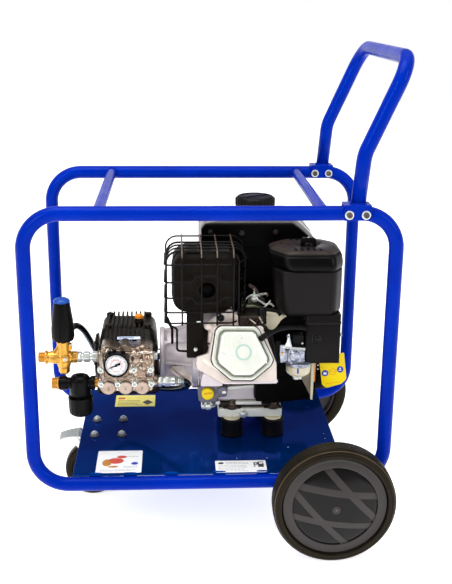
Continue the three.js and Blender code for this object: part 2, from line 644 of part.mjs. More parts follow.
// ---------------------------------------------------------------- pump
function driveHousing() {
  const profile = [[14, -104], [62, -104], [62, -93], [52, -90], [56, -60], [68, -34], [77, -32], [77, -16.3],
    [44, -16.3], [44, -88], [14, -88]];
  const feet = block([-100, -60], [CRANK.y - 40, CRANK.y + 40], [124, 140]);
  const gusset = slab('y', [[-84, 176], [-34, 176], [-34, 132]], [-26, -19]);
  const bore = rod('x', [CRANK.y, CRANK.z], 50, [-101, -20], 20);
  return join(turned('x', [CRANK.y, CRANK.z], profile, 18), cut(feet, bore), gusset);
}

function shaftCoupling() {
  return turned('x', [CRANK.y, CRANK.z], [[13.3, -82], [24, -82], [24, -66], [34, -66], [34, -46],
    [24, -46], [24, -30], [13.3, -30]], 14);
}

function pumpShaft() {
  const throws = VALVE_X.map((x, i) => {
    const angle = (i * 2 * Math.PI) / 3;
    return rod('x', [CRANK.y + 8 * Math.cos(angle), CRANK.z + 8 * Math.sin(angle)], 24, [x - 9, x + 9], 12);
  });
  return join(rod('x', [CRANK.y, CRANK.z], 12.5, [-232, -57]), ...throws);
}

function pumpCrankcase() {
  const { left, right, front, back, bottom, top } = PUMP;
  const outline = [[left + 8, bottom], [left, bottom + 20], [left, 226], [left + 26, top - 8],
    [right - 32, top - 8], [right, 228], [right, bottom + 20], [right - 8, bottom]];
  const body = slab('y', outline, [front, back]);
  const slopeOutline = [[front - 1, 226], [front + 44, top + 20], [front - 1, top + 20]];
  const slope = slab('x', slopeOutline, [left - 1, right + 1]);
  const fins = Array.from({ length: 9 }, (_, i) => {
    const x = left + 28 + i * 9.6;
    const fin = [[front + 2, 222], [front + 36, top + 8], [back - 8, top + 8], [back - 2, 226]];
    return slab('x', fin, [x, x + 3.4]);
  });
  const sideCover = rod('x', [CRANK.y - 8, CRANK.z], 52, [left - 5, left + 1], 20);
  const neck = rod('z', OIL_CAP, 10, [240, top + 12]);
  const room = [rod('x', [CRANK.y, CRANK.z], 42, [left + 6, right - 6], 20),
    rod('x', [CRANK.y, CRANK.z], 14, [right - 8, right + 1])];
  const fill = rod('z', OIL_CAP, 6.3, [258, top + 13], 10);
  return cut(join(cut(body, slope), sideCover, neck, ...fins), ...room, fill);
}

function pumpOilCap() {
  const rest = PUMP.top + 12 + GAP;
  return join(rod('z', OIL_CAP, 9, [rest, rest + 12], 14), rod('z', OIL_CAP, 5.5, [rest - 12, rest + 1], 10));
}

// The manifold: a block with three round valve housings below, their caps, the side ports and the bolts.
function pumpHead() {
  const { x: [left, right], front, z: [bottom, top] } = PUMP_HEAD;
  const back = PUMP.front - GAP;
  const outline = [[left, 172], [left, top - 14], [left + 12, top], [right - 12, top],
    [right, top - 14], [right, 172]];
  const upper = slab('y', outline, [front, back]);
  const housings = VALVE_X.map((x) => rod('y', [x, 163], 20, [front, back], 12));
  const caps = VALVE_X.map((x) => rod('y', [x, 160], 14.7, [front - 7, front + 1], 12));
  const boltPlaces = [[-226, 168], [-191.3, 168], [-156.3, 168], [-121, 168], [-226, 200], [-157, 200],
    [-122, 200]];
  const bolts = boltPlaces.map((centre) => rod('y', centre, 6, [front - 7, front + 1], 6));
  const ports = [[UNLOADER.y, UNLOADER.z], [FILTER.y, FILTER.z]].map((centre) =>
    rod('x', centre, 12, [PUMP_HEAD.port + GAP, left + 2], 10));
  const inlet = rod('x', [INLET_PLUG.y, INLET_PLUG.z], 13, [right - 2, right + 6]);
  const plug = rod('x', [UNLOADER.y, UNLOADER.z], 8, [right - 1, right + 6], 6);
  const lower = block([left + 3, right - 3], [front + 1, back], [bottom + 10, 200]);
  return join(upper, lower, inlet, plug, ...ports, ...housings, ...caps, ...bolts);
}

function gaugeCase() {
  const { x, z, radius, front } = GAUGE;
  const back = PUMP_HEAD.front - GAP;
  const profile = [[0, front + 4], [23, front + 4], [23, front], [25, front - 1], [radius, front + 2],
    [radius, front + 22], [20, front + 27], [0, front + 27]];
  return join(turned('y', [x, z], profile, 24), rod('y', [x, z], 8, [front + 26, back], 10));
}

function gaugeNeedle() {
  const { x, z, front } = GAUGE;
  const y = [front + 1.4, front + 3.6];
  const towards = THREE.MathUtils.degToRad(206);
  const along = [Math.cos(towards), Math.sin(towards)];
  const point = ([r, side]) => [x + r * along[0] - side * along[1], z + r * along[1] + side * along[0]];
  const blade = [[-9, -1.6], [18, -0.5], [18, 0.5], [-9, 1.6]].map(point);
  return join(rod('y', [x, z], 3.2, y, 10), slab('y', blade, y));
}

function unloaderBody() {
  const { x, y, z } = UNLOADER;
  const barrel = turned('x', [y, z], [[0, -358], [11, -358], [11, -343], [14.5, -342], [14.5, -339],
    [12.5, -338], [13.5, -300], [13.5, -276.5], [0, -276.5]], 12);
  const stem = turned('z', [x, y], [[0, 183.5], [11, 183.5], [12, 198], [14, 204], [15, 236], [14, 258],
    [0, 258]], 12);
  return join(barrel, stem, rod('y', [x, 236], 8, [y, y + 27.7], 10));
}

function unloaderKnob() {
  const { x, y } = UNLOADER;
  return turned('z', [x, y], [[0, 258.3], [20, 258.3], [24, 268], [24, 284], [17.5, 342], [16, 348],
    [0, 351]], 20);
}

function outletNipple() {
  const from = PUMP_HEAD.port;
  return turned('x', [UNLOADER.y, UNLOADER.z], [[0, from], [11.5, from], [11.5, from - 13], [8, from - 14],
    [8, from - 17], [11.5, from - 18], [11.5, from - 30], [8.5, from - 31], [8.5, from - 34], [12, from - 35],
    [12, -276.2], [0, -276.2]], 12);
}

function filterHead() {
  const { x, y, z, radius, bowlZ } = FILTER;
  const pumpSide = PUMP_HEAD.port;
  const ports = turned('x', [y, z], [[0, -331], [12.5, -331], [12.5, -316], [15, -315], [15, -300],
    [12, -298], [12, -254], [15, -252], [15, -246], [10, -245], [10, pumpSide], [0, pumpSide]], 12);
  const tower = turned('z', [x, y], [[0, bowlZ[1] + GAP], [radius, bowlZ[1] + GAP], [radius, 172],
    [18, 181], [0, 186]], 18);
  const strainer = turned('z', [x, y], [[9, bowlZ[0] + 12], [14, bowlZ[0] + 12], [14, 140], [9, 140]], 14);
  return join(ports, tower, strainer);
}

function filterBowl() {
  const { x, y, bowl, bowlZ: [bottom, top] } = FILTER;
  return turned('z', [x, y], [[0, bottom], [20, bottom], [bowl - 1, bottom + 9], [bowl, top], [bowl - 4, top],
    [bowl - 5, bottom + 10], [0, bottom + 5]], 20);
}

function bypassHose() {
  const route = new THREE.CatmullRomCurve3(HOSE_ROUTE.map((point) => v3(...point)));
  return pipe(route, HOSE.steps, HOSE.radius, HOSE.sides);
}

// The right-hand inlet fitting: hexagons between the manifold and the hose.
function inletFitting() {
  const from = PUMP_HEAD.x[1] + 6 + GAP;
  return turned('x', [INLET_PLUG.y, INLET_PLUG.z], [[0, from], [11, from], [11, from + 10], [8, from + 11],
    [8, from + 15], [10.5, from + 16], [10.5, from + 28], [8.5, from + 29], [8.5, -70], [0, -70]], 12);
}

// ---------------------------------------------------------------- assembly
add('near_side_loop', sideLoop(-LOOP.y), BLUE);
add('far_side_loop', sideLoop(LOOP.y), BLUE);
add('pump_end_top_bar', topBar(-TOP_BAR.x), BLUE);
add('wheel_end_top_bar', topBar(TOP_BAR.x), BLUE);
add('base_plate', basePlate(), BLUE);
add('handle', handle(), BLUE);
add('rear_axle', rearAxle(), STEEL);
for (const [name, side] of [['near', -1], ['far', 1]]) {
  add(`${name}_tyre`, tyre(side), RUBBER);
  add(`${name}_rim`, rim(side), BLACK);
  add(`${name}_wheel_cover`, wheelCover(side), BLACK);
}
add('caster_plate', casterPlate(), STEEL);
add('caster_fork', casterFork(), STEEL);
add('caster_axle_bolt', casterAxle(), STEEL);
add('caster_tyre', casterTyre(), RUBBER);
add('caster_hub', casterHub(), BLACK);
add('caster_brake_pedal', brakePedal(), STEEL);

add('crankcase', crankcase(), CAST);
add('cylinder_head', cylinderHead(), CAST);
add('rocker_cover', rockerCover(), STEEL);
add('muffler', muffler(), BLACK);
add('muffler_guard', mufflerGuard(), BLACK);
add('fuel_tank', fuelTank(), CREAM);
add('fuel_cap', fuelCap(), BLACK);
add('tank_shroud', tankShroud(), BLACK);
add('air_cleaner_body', cleanerBody(), BLACK);
add('air_filter_element', filterElement(), CREAM);
add('air_cleaner_cover', cleanerCover(), BLACK);
add('air_cleaner_knob', cleanerKnob(), BLACK);
add('carburetor', carburetor(), CAST);
add('choke_lever', chokeLever(), STEEL);
add('throttle_lever', throttleLever(), STEEL);
add('spark_plug_cap', sparkPlugCap(), BLACK);
add('fan_housing', fanHousing(), BLACK);
add('recoil_cover', recoilCover(), BLACK);
add('recoil_handle', recoilHandle(), BLACK);
add('oil_dipstick', oilDipstick(), YELLOW);
add('crankshaft', crankshaft(), STEEL);
add('flywheel', flywheel(), CAST);
const MOUNT_NAMES = ['near_pump_side', 'near_wheel_side', 'far_pump_side', 'far_wheel_side'];
mountPlaces().forEach((centre, i) => add(`${MOUNT_NAMES[i]}_mount`, engineMount(centre), RUBBER));

add('drive_housing', driveHousing(), CAST);
add('shaft_coupling', shaftCoupling(), STEEL);
add('pump_shaft', pumpShaft(), STEEL);
add('pump_crankcase', pumpCrankcase(), BLACK);
add('pump_oil_cap', pumpOilCap(), YELLOW);
add('pump_head', pumpHead(), NICKEL);
add('gauge_case', gaugeCase(), BLACK);
add('gauge_needle', gaugeNeedle(), BLACK);
add('unloader_body', unloaderBody(), BRASS);
add('unloader_knob', unloaderKnob(), BLACK);
add('outlet_nipple', outletNipple(), STEEL);
add('inlet_fitting', inletFitting(), STEEL);
add('filter_head', filterHead(), BLACK);
add('filter_bowl', filterBowl(), BLACK);
add('bypass_hose', bypassHose(), RUBBER);

// The origin is the bottom centre of the whole machine's box.
const bounds = new THREE.Box3().setFromObject(part);
part.position.set(-(bounds.min.x + bounds.max.x) / 2, 0, -bounds.min.z);

export default part;
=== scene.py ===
"""The petrol pressure washer's looks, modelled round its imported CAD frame.

Shapes are written in millimetres on the machine's own grid: X from the middle of the side loops towards the
wheels, Y from the middle plane (the near side is -Y) and Z up from the bottom tubes' centreline. The grid's
place comes from the frame, and each mesh is turned into metres as it is made.
"""
import random
from math import cos, pi, radians, sin, sqrt, tan, tau

import bmesh
import bpy
from mathutils import Matrix, Vector


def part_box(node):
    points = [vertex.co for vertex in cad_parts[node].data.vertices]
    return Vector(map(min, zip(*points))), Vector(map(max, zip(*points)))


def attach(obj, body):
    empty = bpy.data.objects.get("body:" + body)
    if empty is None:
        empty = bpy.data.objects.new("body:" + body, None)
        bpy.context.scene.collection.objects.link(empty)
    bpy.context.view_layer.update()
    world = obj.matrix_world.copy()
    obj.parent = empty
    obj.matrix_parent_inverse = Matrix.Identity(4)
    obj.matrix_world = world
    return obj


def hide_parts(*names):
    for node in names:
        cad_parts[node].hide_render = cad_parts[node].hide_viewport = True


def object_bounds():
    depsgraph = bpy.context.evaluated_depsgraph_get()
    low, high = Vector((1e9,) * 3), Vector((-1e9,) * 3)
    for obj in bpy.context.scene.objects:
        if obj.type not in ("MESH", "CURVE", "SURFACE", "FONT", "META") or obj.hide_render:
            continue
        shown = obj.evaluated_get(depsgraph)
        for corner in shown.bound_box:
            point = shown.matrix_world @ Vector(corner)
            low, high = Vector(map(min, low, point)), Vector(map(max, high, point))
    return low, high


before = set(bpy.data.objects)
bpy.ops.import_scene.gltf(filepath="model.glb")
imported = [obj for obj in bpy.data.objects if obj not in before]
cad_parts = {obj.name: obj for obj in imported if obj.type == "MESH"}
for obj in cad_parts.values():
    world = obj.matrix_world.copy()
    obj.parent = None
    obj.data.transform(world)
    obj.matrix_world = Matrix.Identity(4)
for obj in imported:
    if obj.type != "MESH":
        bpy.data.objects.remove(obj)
cad_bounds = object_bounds()
scene = bpy.context.scene
random.seed(7)

MM = 0.001
SHARP_EDGE = radians(28)  # bevels round the edges that bend more than this
SHADED_SHARP = 32  # degrees above which an edge of a moulded or turned part is shaded sharp
AXLE_DROP = 15.5  # the rear axle's centre below the bottom tubes' centreline
loop_low, loop_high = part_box("near_side_loop")
axle_low, axle_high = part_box("rear_axle")
MIDDLE_X = (loop_low.x + loop_high.x) / 2
TUBE_LINE_Z = (axle_low.z + axle_high.z) / 2 + AXLE_DROP * MM
GRID = Matrix.Translation((MIDDLE_X, 0, TUBE_LINE_Z)) @ Matrix.Scale(MM, 4)

# ---- driving sizes, in millimetres
TUBE = 14.3  # the frame tube's radius
LOOP_X, LOOP_Y, LOOP_TOP, LOOP_BEND = 355.5, 227.5, 561, 70
PLATE_TOP = 17.6
WHEEL = WHEEL_X, WHEEL_Z = (245.3, -AXLE_DROP)
WHEEL_INNER, WHEEL_OUTER = 266.4, 315.6  # the faces of a rear wheel, from the middle plane
CASTER_X, TRAIL = -220, 38.5
CASTER_Z = -77
CRANK = CRANK_Y, CRANK_Z = (32, 183)
CYLINDER_TILT = radians(-20)
ON_CYLINDER = Matrix.Translation((0, CRANK_Y, CRANK_Z)) @ Matrix.Rotation(CYLINDER_TILT, 4, "X")
VALVE_X = (-211, -175, -140)
PUMP_FILLER = (-149, 14)
REST = 0.3  # the gap under a part that lifts or turns off another


# ---- shape making
def place(axis, u, v, w):
    """A point from its two cross coordinates, in X, Y, Z order, and its distance along the axis."""
    return {"x": (w, u, v), "y": (u, w, v), "z": (u, v, w)}[axis]


def fillet(corners, radius, steps, closed=False):
    """A route through corner points with round bends. radius is one number, or one for each corner."""
    points, route = [Vector(c) for c in corners], []
    last = len(points) - 1
    for i, corner in enumerate(points):
        bend = radius[i] if isinstance(radius, (list, tuple)) else radius
        if (not closed and i in (0, last)) or bend == 0:
            route.append(corner)
            continue
        into = (corner - points[i - 1]).normalized()
        out = (points[(i + 1) % len(points)] - corner).normalized()
        angle = into.angle(out)
        side = (out - into * into.dot(out)).normalized()
        centre = corner - into * bend * tan(angle / 2) + side * bend
        for step in range(steps + 1):
            turn = angle * step / steps
            route.append(centre - side * bend * cos(turn) + into * bend * sin(turn))
    return route


def spline(knots, per):
    """A smooth route through all its points."""
    p = [Vector(k) for k in knots]
    p = [2 * p[0] - p[1], *p, 2 * p[-1] - p[-2]]
    route = []
    for a, b, c, d in zip(p, p[1:], p[2:], p[3:]):
        for step in range(per):
            t = step / per
            route.append(0.5 * (2 * b + (c - a) * t + (2 * a - 5 * b + 4 * c - d) * t ** 2
                + (3 * b - a - 3 * c + d) * t ** 3))
    return [*route, p[-2]]


def oblong(x, y):
    return [(x[0], y[0]), (x[1], y[0]), (x[1], y[1]), (x[0], y[1])]


def rounded(x, y, corner, steps=4):
    """A rectangle's outline with round corners."""
    return soften(oblong(x, y), corner, steps)


def soften(outline, corner, steps=3):
    """An outline with its corners rounded."""
    return [(p.x, p.y) for p in fillet([(u, v, 0) for u, v in outline], corner, steps, closed=True)]


def on_circle(centre, radius, angle):
    return (centre[0] + radius * cos(angle), centre[1] + radius * sin(angle))


def grown(outline, k, centre=None):
    """An outline scaled about its centre."""
    if centre is None:
        us, vs = zip(*outline)
        centre = ((min(us) + max(us)) / 2, (min(vs) + max(vs)) / 2)
    return [(centre[0] + (u - centre[0]) * k, centre[1] + (v - centre[1]) * k) for u, v in outline]


def inset(outline, by):
    """An outline moved inward by a distance; negative moves it outward."""
    count = len(outline)
    area = sum(outline[i - 1][0] * outline[i][1] - outline[i][0] * outline[i - 1][1] for i in range(count))
    sign = 1 if area > 0 else -1
    moved = []
    for i, (u, v) in enumerate(outline):
        here = Vector((u, v))
        before, after = Vector(outline[i - 1]), Vector(outline[(i + 1) % count])
        into, out = (here - before).normalized(), (after - here).normalized()
        normals = [Vector((-d.y, d.x)) * sign for d in (into, out)]
        middle = normals[0] + normals[1]
        middle = middle / max(middle.length_squared, 0.3) * 2
        moved.append(tuple(here + middle * by))
    return moved


def skin(rows, n, closed=False):
    """The faces between rows of n points, capped at both ends unless the rows close on themselves."""
    faces = [[r * n + i, r * n + (i + 1) % n, (r + 1) % rows * n + (i + 1) % n, (r + 1) % rows * n + i]
        for r in range(rows if closed else rows - 1) for i in range(n)]
    if not closed:
        end = (rows - 1) * n
        faces += [list(range(n))[::-1], list(range(end, end + n))]
    return faces


def mirrored(half, middle=()):
    """A lathe profile that is the same on both sides of its middle."""
    return [*half, *middle, *[(r, -along) for r, along in half[::-1]]]


class Form:
    """A mesh in the making, in millimetres on the grid. What is added next gets material number mark."""

    def __init__(self):
        self.verts, self.faces, self.marks = [], [], []
        self.mark = 0
        self.turn = Matrix.Identity(4)

    def pivot(self, axis, centre, angle=0.0):
        """What is added next stands at centre, turned by angle round the axis."""
        self.turn = Matrix.Translation(centre) @ Matrix.Rotation(angle, 4, axis.upper())

    def level(self):
        self.turn = Matrix.Identity(4)

    def around(self, axis, centre, count, start=0.0):
        """Turns what each pass adds by equal steps round the axis. start is a share of a step."""
        for k in range(count):
            self.pivot(axis, centre, tau * (k + start) / count)
            yield k
        self.level()

    def add(self, verts, faces, bevel=0.0, steps=2):
        if bevel:
            verts, faces = bevelled(verts, faces, bevel, steps)
        start = len(self.verts)
        self.verts += [self.turn @ Vector(v) for v in verts]
        self.faces += [[start + i for i in face] for face in faces]
        self.marks += [self.mark] * len(faces)
        return self

    def loft(self, axis, rings, bevel=0.0, steps=2, closed=False):
        """Outlines with the same number of points, each with its place along the axis, skinned."""
        verts = [place(axis, u, v, w) for outline, w in rings for u, v in outline]
        return self.add(verts, skin(len(rings), len(rings[0][0]), closed), bevel, steps)

    def layers(self, axis, outline, start, *steps):
        """A loft of one outline. Each step says how far it is moved inward, and how far on from start."""
        return self.loft(axis, [(inset(outline, by), start + w) for by, w in steps])

    def swells(self, axis, outline, centre, *steps):
        """A loft of one outline. Each step says how far it is scaled about centre, and where that is."""
        return self.loft(axis, [(grown(outline, k, centre), w) for k, w in steps])

    def prism(self, axis, outline, span, bevel=0.0, steps=2):
        return self.loft(axis, [(outline, span[0]), (outline, span[1])], bevel, steps)

    def block(self, x, y, z, bevel=0.0):
        return self.prism("z", oblong(x, y), z, bevel)

    def frame_ring(self, axis, outer, inner, span, bevel):
        """A band between two outlines that have the same number of points."""
        rings = [(outer, span[0]), (outer, span[1]), (inner, span[1]), (inner, span[0])]
        return self.loft(axis, rings, bevel, closed=True)

    def lathe(self, axis, centre, profile, sides, bevel=0.0, start=0, side=1):
        """Turned round a line. profile holds (radius, along), with "hex" after them for a hexagonal
        section. A profile that starts off the line is a ring, and closes on itself. along is measured
        from start, and side is -1 for a mirrored part."""
        verts, rows = [], []
        for radius, along, *shape in profile:
            along = side * (start + along)
            if radius == 0:
                rows.append([len(verts)] * sides)
                verts.append(place(axis, *centre, along))
                continue
            rows.append(list(range(len(verts), len(verts) + sides)))
            for i in range(sides):
                angle = tau * i / sides
                reach = radius
                if shape:
                    reach *= cos(pi / 6) / cos(angle % (pi / 3) - pi / 6)
                verts.append(place(axis, centre[0] + reach * cos(angle),
                    centre[1] + reach * sin(angle), along))
        pairs = list(zip(rows, rows[1:])) + ([(rows[-1], rows[0])] if profile[0][0] else [])
        faces = []
        for low, high in pairs:
            for i in range(sides):
                j = (i + 1) % sides
                face = list(dict.fromkeys((low[i], low[j], high[j], high[i])))
                if len(face) > 2:
                    faces.append(face)
        return self.add(verts, faces, bevel)

    def turned(self, axis, centre, profile, *details, **more):
        """A lathe profile that is closed to its line at both ends."""
        closed = [(0, profile[0][1]), *profile, (0, profile[-1][1])]
        return self.lathe(axis, centre, closed, *details, **more)

    def rod(self, axis, centre, radius, span, sides, bevel=0.0):
        return self.turned(axis, centre, [(radius, span[0]), (radius, span[1])], sides, bevel)

    def pipe(self, axis, centre, outer, inner, span, sides, bevel=0.0):
        return self.lathe(axis, centre, [(inner, span[0]), (outer, span[0]), (outer, span[1]),
            (inner, span[1])], sides, bevel)

    def sweep(self, route, radius, sides, closed=False, flat=1.0):
        """A round bar along a route. radius is a number or a function of the share of the route.
        flat squeezes the section along its second direction."""
        route = [Vector(p) for p in route]
        count = len(route)
        across, verts = None, []
        for i, point in enumerate(route):
            before = route[i - 1] if closed or i else point
            after = route[(i + 1) % count] if closed or i < count - 1 else point
            ahead = (after - before).normalized()
            if across is None:
                across = ahead.orthogonal().normalized()
            across = (across - ahead * across.dot(ahead)).normalized()
            other = ahead.cross(across) * flat
            reach = radius(i / (count - 1)) if callable(radius) else radius
            for k in range(sides):
                angle = tau * k / sides
                verts.append(point + (across * cos(angle) + other * sin(angle)) * reach)
        return self.add(verts, skin(count, sides, closed))

    def bar(self, y, a, b, radius, sides, flat=1.0):
        """A round bar between two (X, Z) points in an upright plane."""
        return self.sweep([(a[0], y, a[1]), (b[0], y, b[1])], radius, sides, flat=flat)

    def ball(self, centre, radius, squash=(1, 1, 1)):
        """A ball, or an egg where squash stretches it."""
        rows = [pi * i / 10 for i in range(11)]
        form = Form().lathe("z", (0, 0), [(radius * sin(a) if 0 < i < 10 else 0,
            -radius * cos(a)) for i, a in enumerate(rows)], 20)
        verts = [Vector(centre) + Vector(s * c for s, c in zip(squash, v)) for v in form.verts]
        return self.add(verts, form.faces)

    def hex_bolt(self, axis, centre, base, radius, height, out, washer=True):
        """A hexagon head on its washer, standing on base and facing out (+1 or -1) along the axis."""
        if washer:
            self.rod(axis, centre, radius * 1.3, sorted((base - out * 0.5, base + out * 1.4)), 28, 0.3)
            base += out * 1.4
        top = base + out * height
        rim = top - out * radius * 0.13
        return self.turned(axis, centre, [(radius, base - out, "hex"), (radius, rim, "hex"),
            (radius * 0.86, top)], 24)

    def socket_bolt(self, axis, centre, base, radius, height, out):
        """A round head with a hexagonal socket."""
        top = base + out * height
        deep = top - out * height * 0.55
        return self.turned(axis, centre, [(radius, base - out), (radius, top - out * 0.5),
            (radius * 0.9, top), (radius * 0.58, top), (radius * 0.52, top - out * 0.4, "hex"),
            (radius * 0.52, deep, "hex")], 24)


def bevelled(verts, faces, width, steps):
    """The same shape with its sharp edges rounded off."""
    mesh = bmesh.new()
    made = [mesh.verts.new(v) for v in verts]
    for face in faces:
        mesh.faces.new([made[i] for i in face])
    bmesh.ops.recalc_face_normals(mesh, faces=mesh.faces)
    sharp = [e for e in mesh.edges if e.is_manifold and e.calc_face_angle(0) > SHARP_EDGE]
    bmesh.ops.bevel(mesh, geom=sharp, offset=width, segments=steps, profile=0.5, affect="EDGES",
        clamp_overlap=True)
    mesh.verts.index_update()
    result = [v.co.copy() for v in mesh.verts], [[v.index for v in f.verts] for f in mesh.faces]
    mesh.free()
    return result


def built(name, form):
    """An object with a form's mesh, in metres."""
    mesh = bpy.data.meshes.new(name)
    mesh.from_pydata([GRID @ v for v in form.verts], [], form.faces)
    mesh.polygons.foreach_set("material_index", form.marks)
    work = bmesh.new()
    work.from_mesh(mesh)
    bmesh.ops.recalc_face_normals(work, faces=work.faces)
    work.to_mesh(mesh)
    work.free()
    mesh.shade_smooth()
    obj = bpy.data.objects.new(name, mesh)
    scene.collection.objects.link(obj)
    return obj


def piece(name, form, finishes, replaces=None, body="frame", sharp=None):
    """A finished form as an object that rides on a body. finishes names its materials in mark order, and
    edges bent by more than sharp degrees are shaded sharp."""
    obj = built(name, form)
    for finish in finishes.split():
        obj.data.materials.append(materials[finish])
    obj.modifiers.new("weighted normals", "WEIGHTED_NORMAL").weight = 80
    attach(obj, body)
    if replaces:
        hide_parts(replaces)
    if sharp:
        obj.data.set_sharp_from_angle(angle=radians(sharp))
    return obj


def carve(obj, cutter):
    """Cuts a form out of a piece."""
    tool = built("cutter", cutter)
    modifier = obj.modifiers.new("carve", "BOOLEAN")
    modifier.operation = "DIFFERENCE"
    modifier.object = tool
    modifier.solver = "EXACT"
    modifier.use_self = True
    obj.modifiers.move(len(obj.modifiers) - 1, 0)
    weighted = obj.modifiers[-1]
    weighted.show_viewport = weighted.show_render = False
    graph = bpy.context.evaluated_depsgraph_get()
    carved = bpy.data.meshes.new_from_object(obj.evaluated_get(graph))
    obj.modifiers.remove(modifier)
    old, obj.data = obj.data, carved
    weighted.show_viewport = weighted.show_render = True
    cutter_mesh = tool.data
    bpy.data.objects.remove(tool)
    bpy.data.meshes.remove(cutter_mesh)
    bpy.data.meshes.remove(old)
    carved.name = obj.name
    carved.set_sharp_from_angle(angle=radians(SHADED_SHARP))


# ---- materials
def rgb(colour):
    """A display colour, 0 to 255, as linear light."""
    shares = [c / 255 for c in colour]
    return (*(c / 12.92 if c <= 0.04045 else ((c + 0.055) / 1.055) ** 2.4 for c in shares), 1)


def node(tree, kind, inputs=(), **settings):
    made = tree.nodes.new(kind)
    for key, value in settings.items():
        setattr(made, key, value)
    for key, value in dict(inputs).items():
        if isinstance(value, bpy.types.NodeSocket):
            tree.links.new(value, made.inputs[key])
        else:
            made.inputs[key].default_value = value
    return made


def noise(tree, scale, detail=4.0, rough=0.55):
    """A noise pattern in the machine's own metres."""
    where = node(tree, "ShaderNodeTexCoord").outputs["Object"]
    return node(tree, "ShaderNodeTexNoise", {"Vector": where, "Scale": scale, "Detail": detail,
        "Roughness": rough}).outputs["Fac"]


def spread(tree, value, low, high, from_low=0.3, from_high=0.7):
    return node(tree, "ShaderNodeMapRange", {"Value": value, "From Min": from_low, "From Max": from_high,
        "To Min": low, "To Max": high}).outputs["Result"]


def blend_colour(tree, share, first, second):
    mixer = node(tree, "ShaderNodeMix", data_type="RGBA")
    for socket, value in zip((mixer.inputs[0], mixer.inputs[6], mixer.inputs[7]), (share, first, second)):
        if isinstance(value, bpy.types.NodeSocket):
            tree.links.new(value, socket)
        else:
            socket.default_value = value
    return mixer.outputs[2]


def surface(name, colour, second, rough, mottle, metal=0.0, grain=None, bumps=None, coat=(0.0, 0.08),
        specular=0.5, tint=None, wear=None, dust=None):
    """A physically based material. colour drifts to second in soft patches of the mottle scale, and rough
    drifts between two values. grain and bumps are fine and coarse relief (scale, height in millimetres).
    coat is a clear coat's weight and roughness. wear is a colour that shows on outer edges, and dust is
    one that lies in broad faint patches."""
    material = bpy.data.materials.new(name)
    material.use_nodes = True
    tree = material.node_tree
    shader = tree.nodes["Principled BSDF"]
    paint = blend_colour(tree, spread(tree, noise(tree, mottle, 5, 0.6), 0, 1), rgb(colour), rgb(second))
    if dust:
        paint = blend_colour(tree, spread(tree, noise(tree, mottle * 0.35, 6), 0, 0.35, 0.5, 0.8), paint,
            rgb(dust))
    if wear:
        edge = node(tree, "ShaderNodeNewGeometry").outputs["Pointiness"]
        rubbed = node(tree, "ShaderNodeMath", {0: spread(tree, edge, 0, 1, 0.53, 0.6),
            1: spread(tree, noise(tree, 160, 3), 0, 1, 0.4, 0.6)}, operation="MULTIPLY").outputs[0]
        paint = blend_colour(tree, rubbed, paint, rgb(wear))
    tree.links.new(paint, shader.inputs["Base Color"])
    tree.links.new(spread(tree, noise(tree, mottle * 2.3, 5, 0.6), *rough), shader.inputs["Roughness"])
    settings = {"Metallic": metal, "Specular IOR Level": specular, "Coat Weight": coat[0],
        "Coat Roughness": coat[1]}
    if tint:
        settings["Specular Tint"] = rgb(tint)
    for socket, value in settings.items():
        shader.inputs[socket].default_value = value
    relief = {}
    for layer in (bumps, grain):
        if layer:
            scale, height = layer
            inputs = {"Height": noise(tree, scale, 3, 0.6), "Distance": height * MM, "Strength": 1.0}
            relief = {"Normal": node(tree, "ShaderNodeBump", {**inputs, **relief}).outputs["Normal"]}
    if relief:
        tree.links.new(relief["Normal"], shader.inputs["Normal"])
    return material


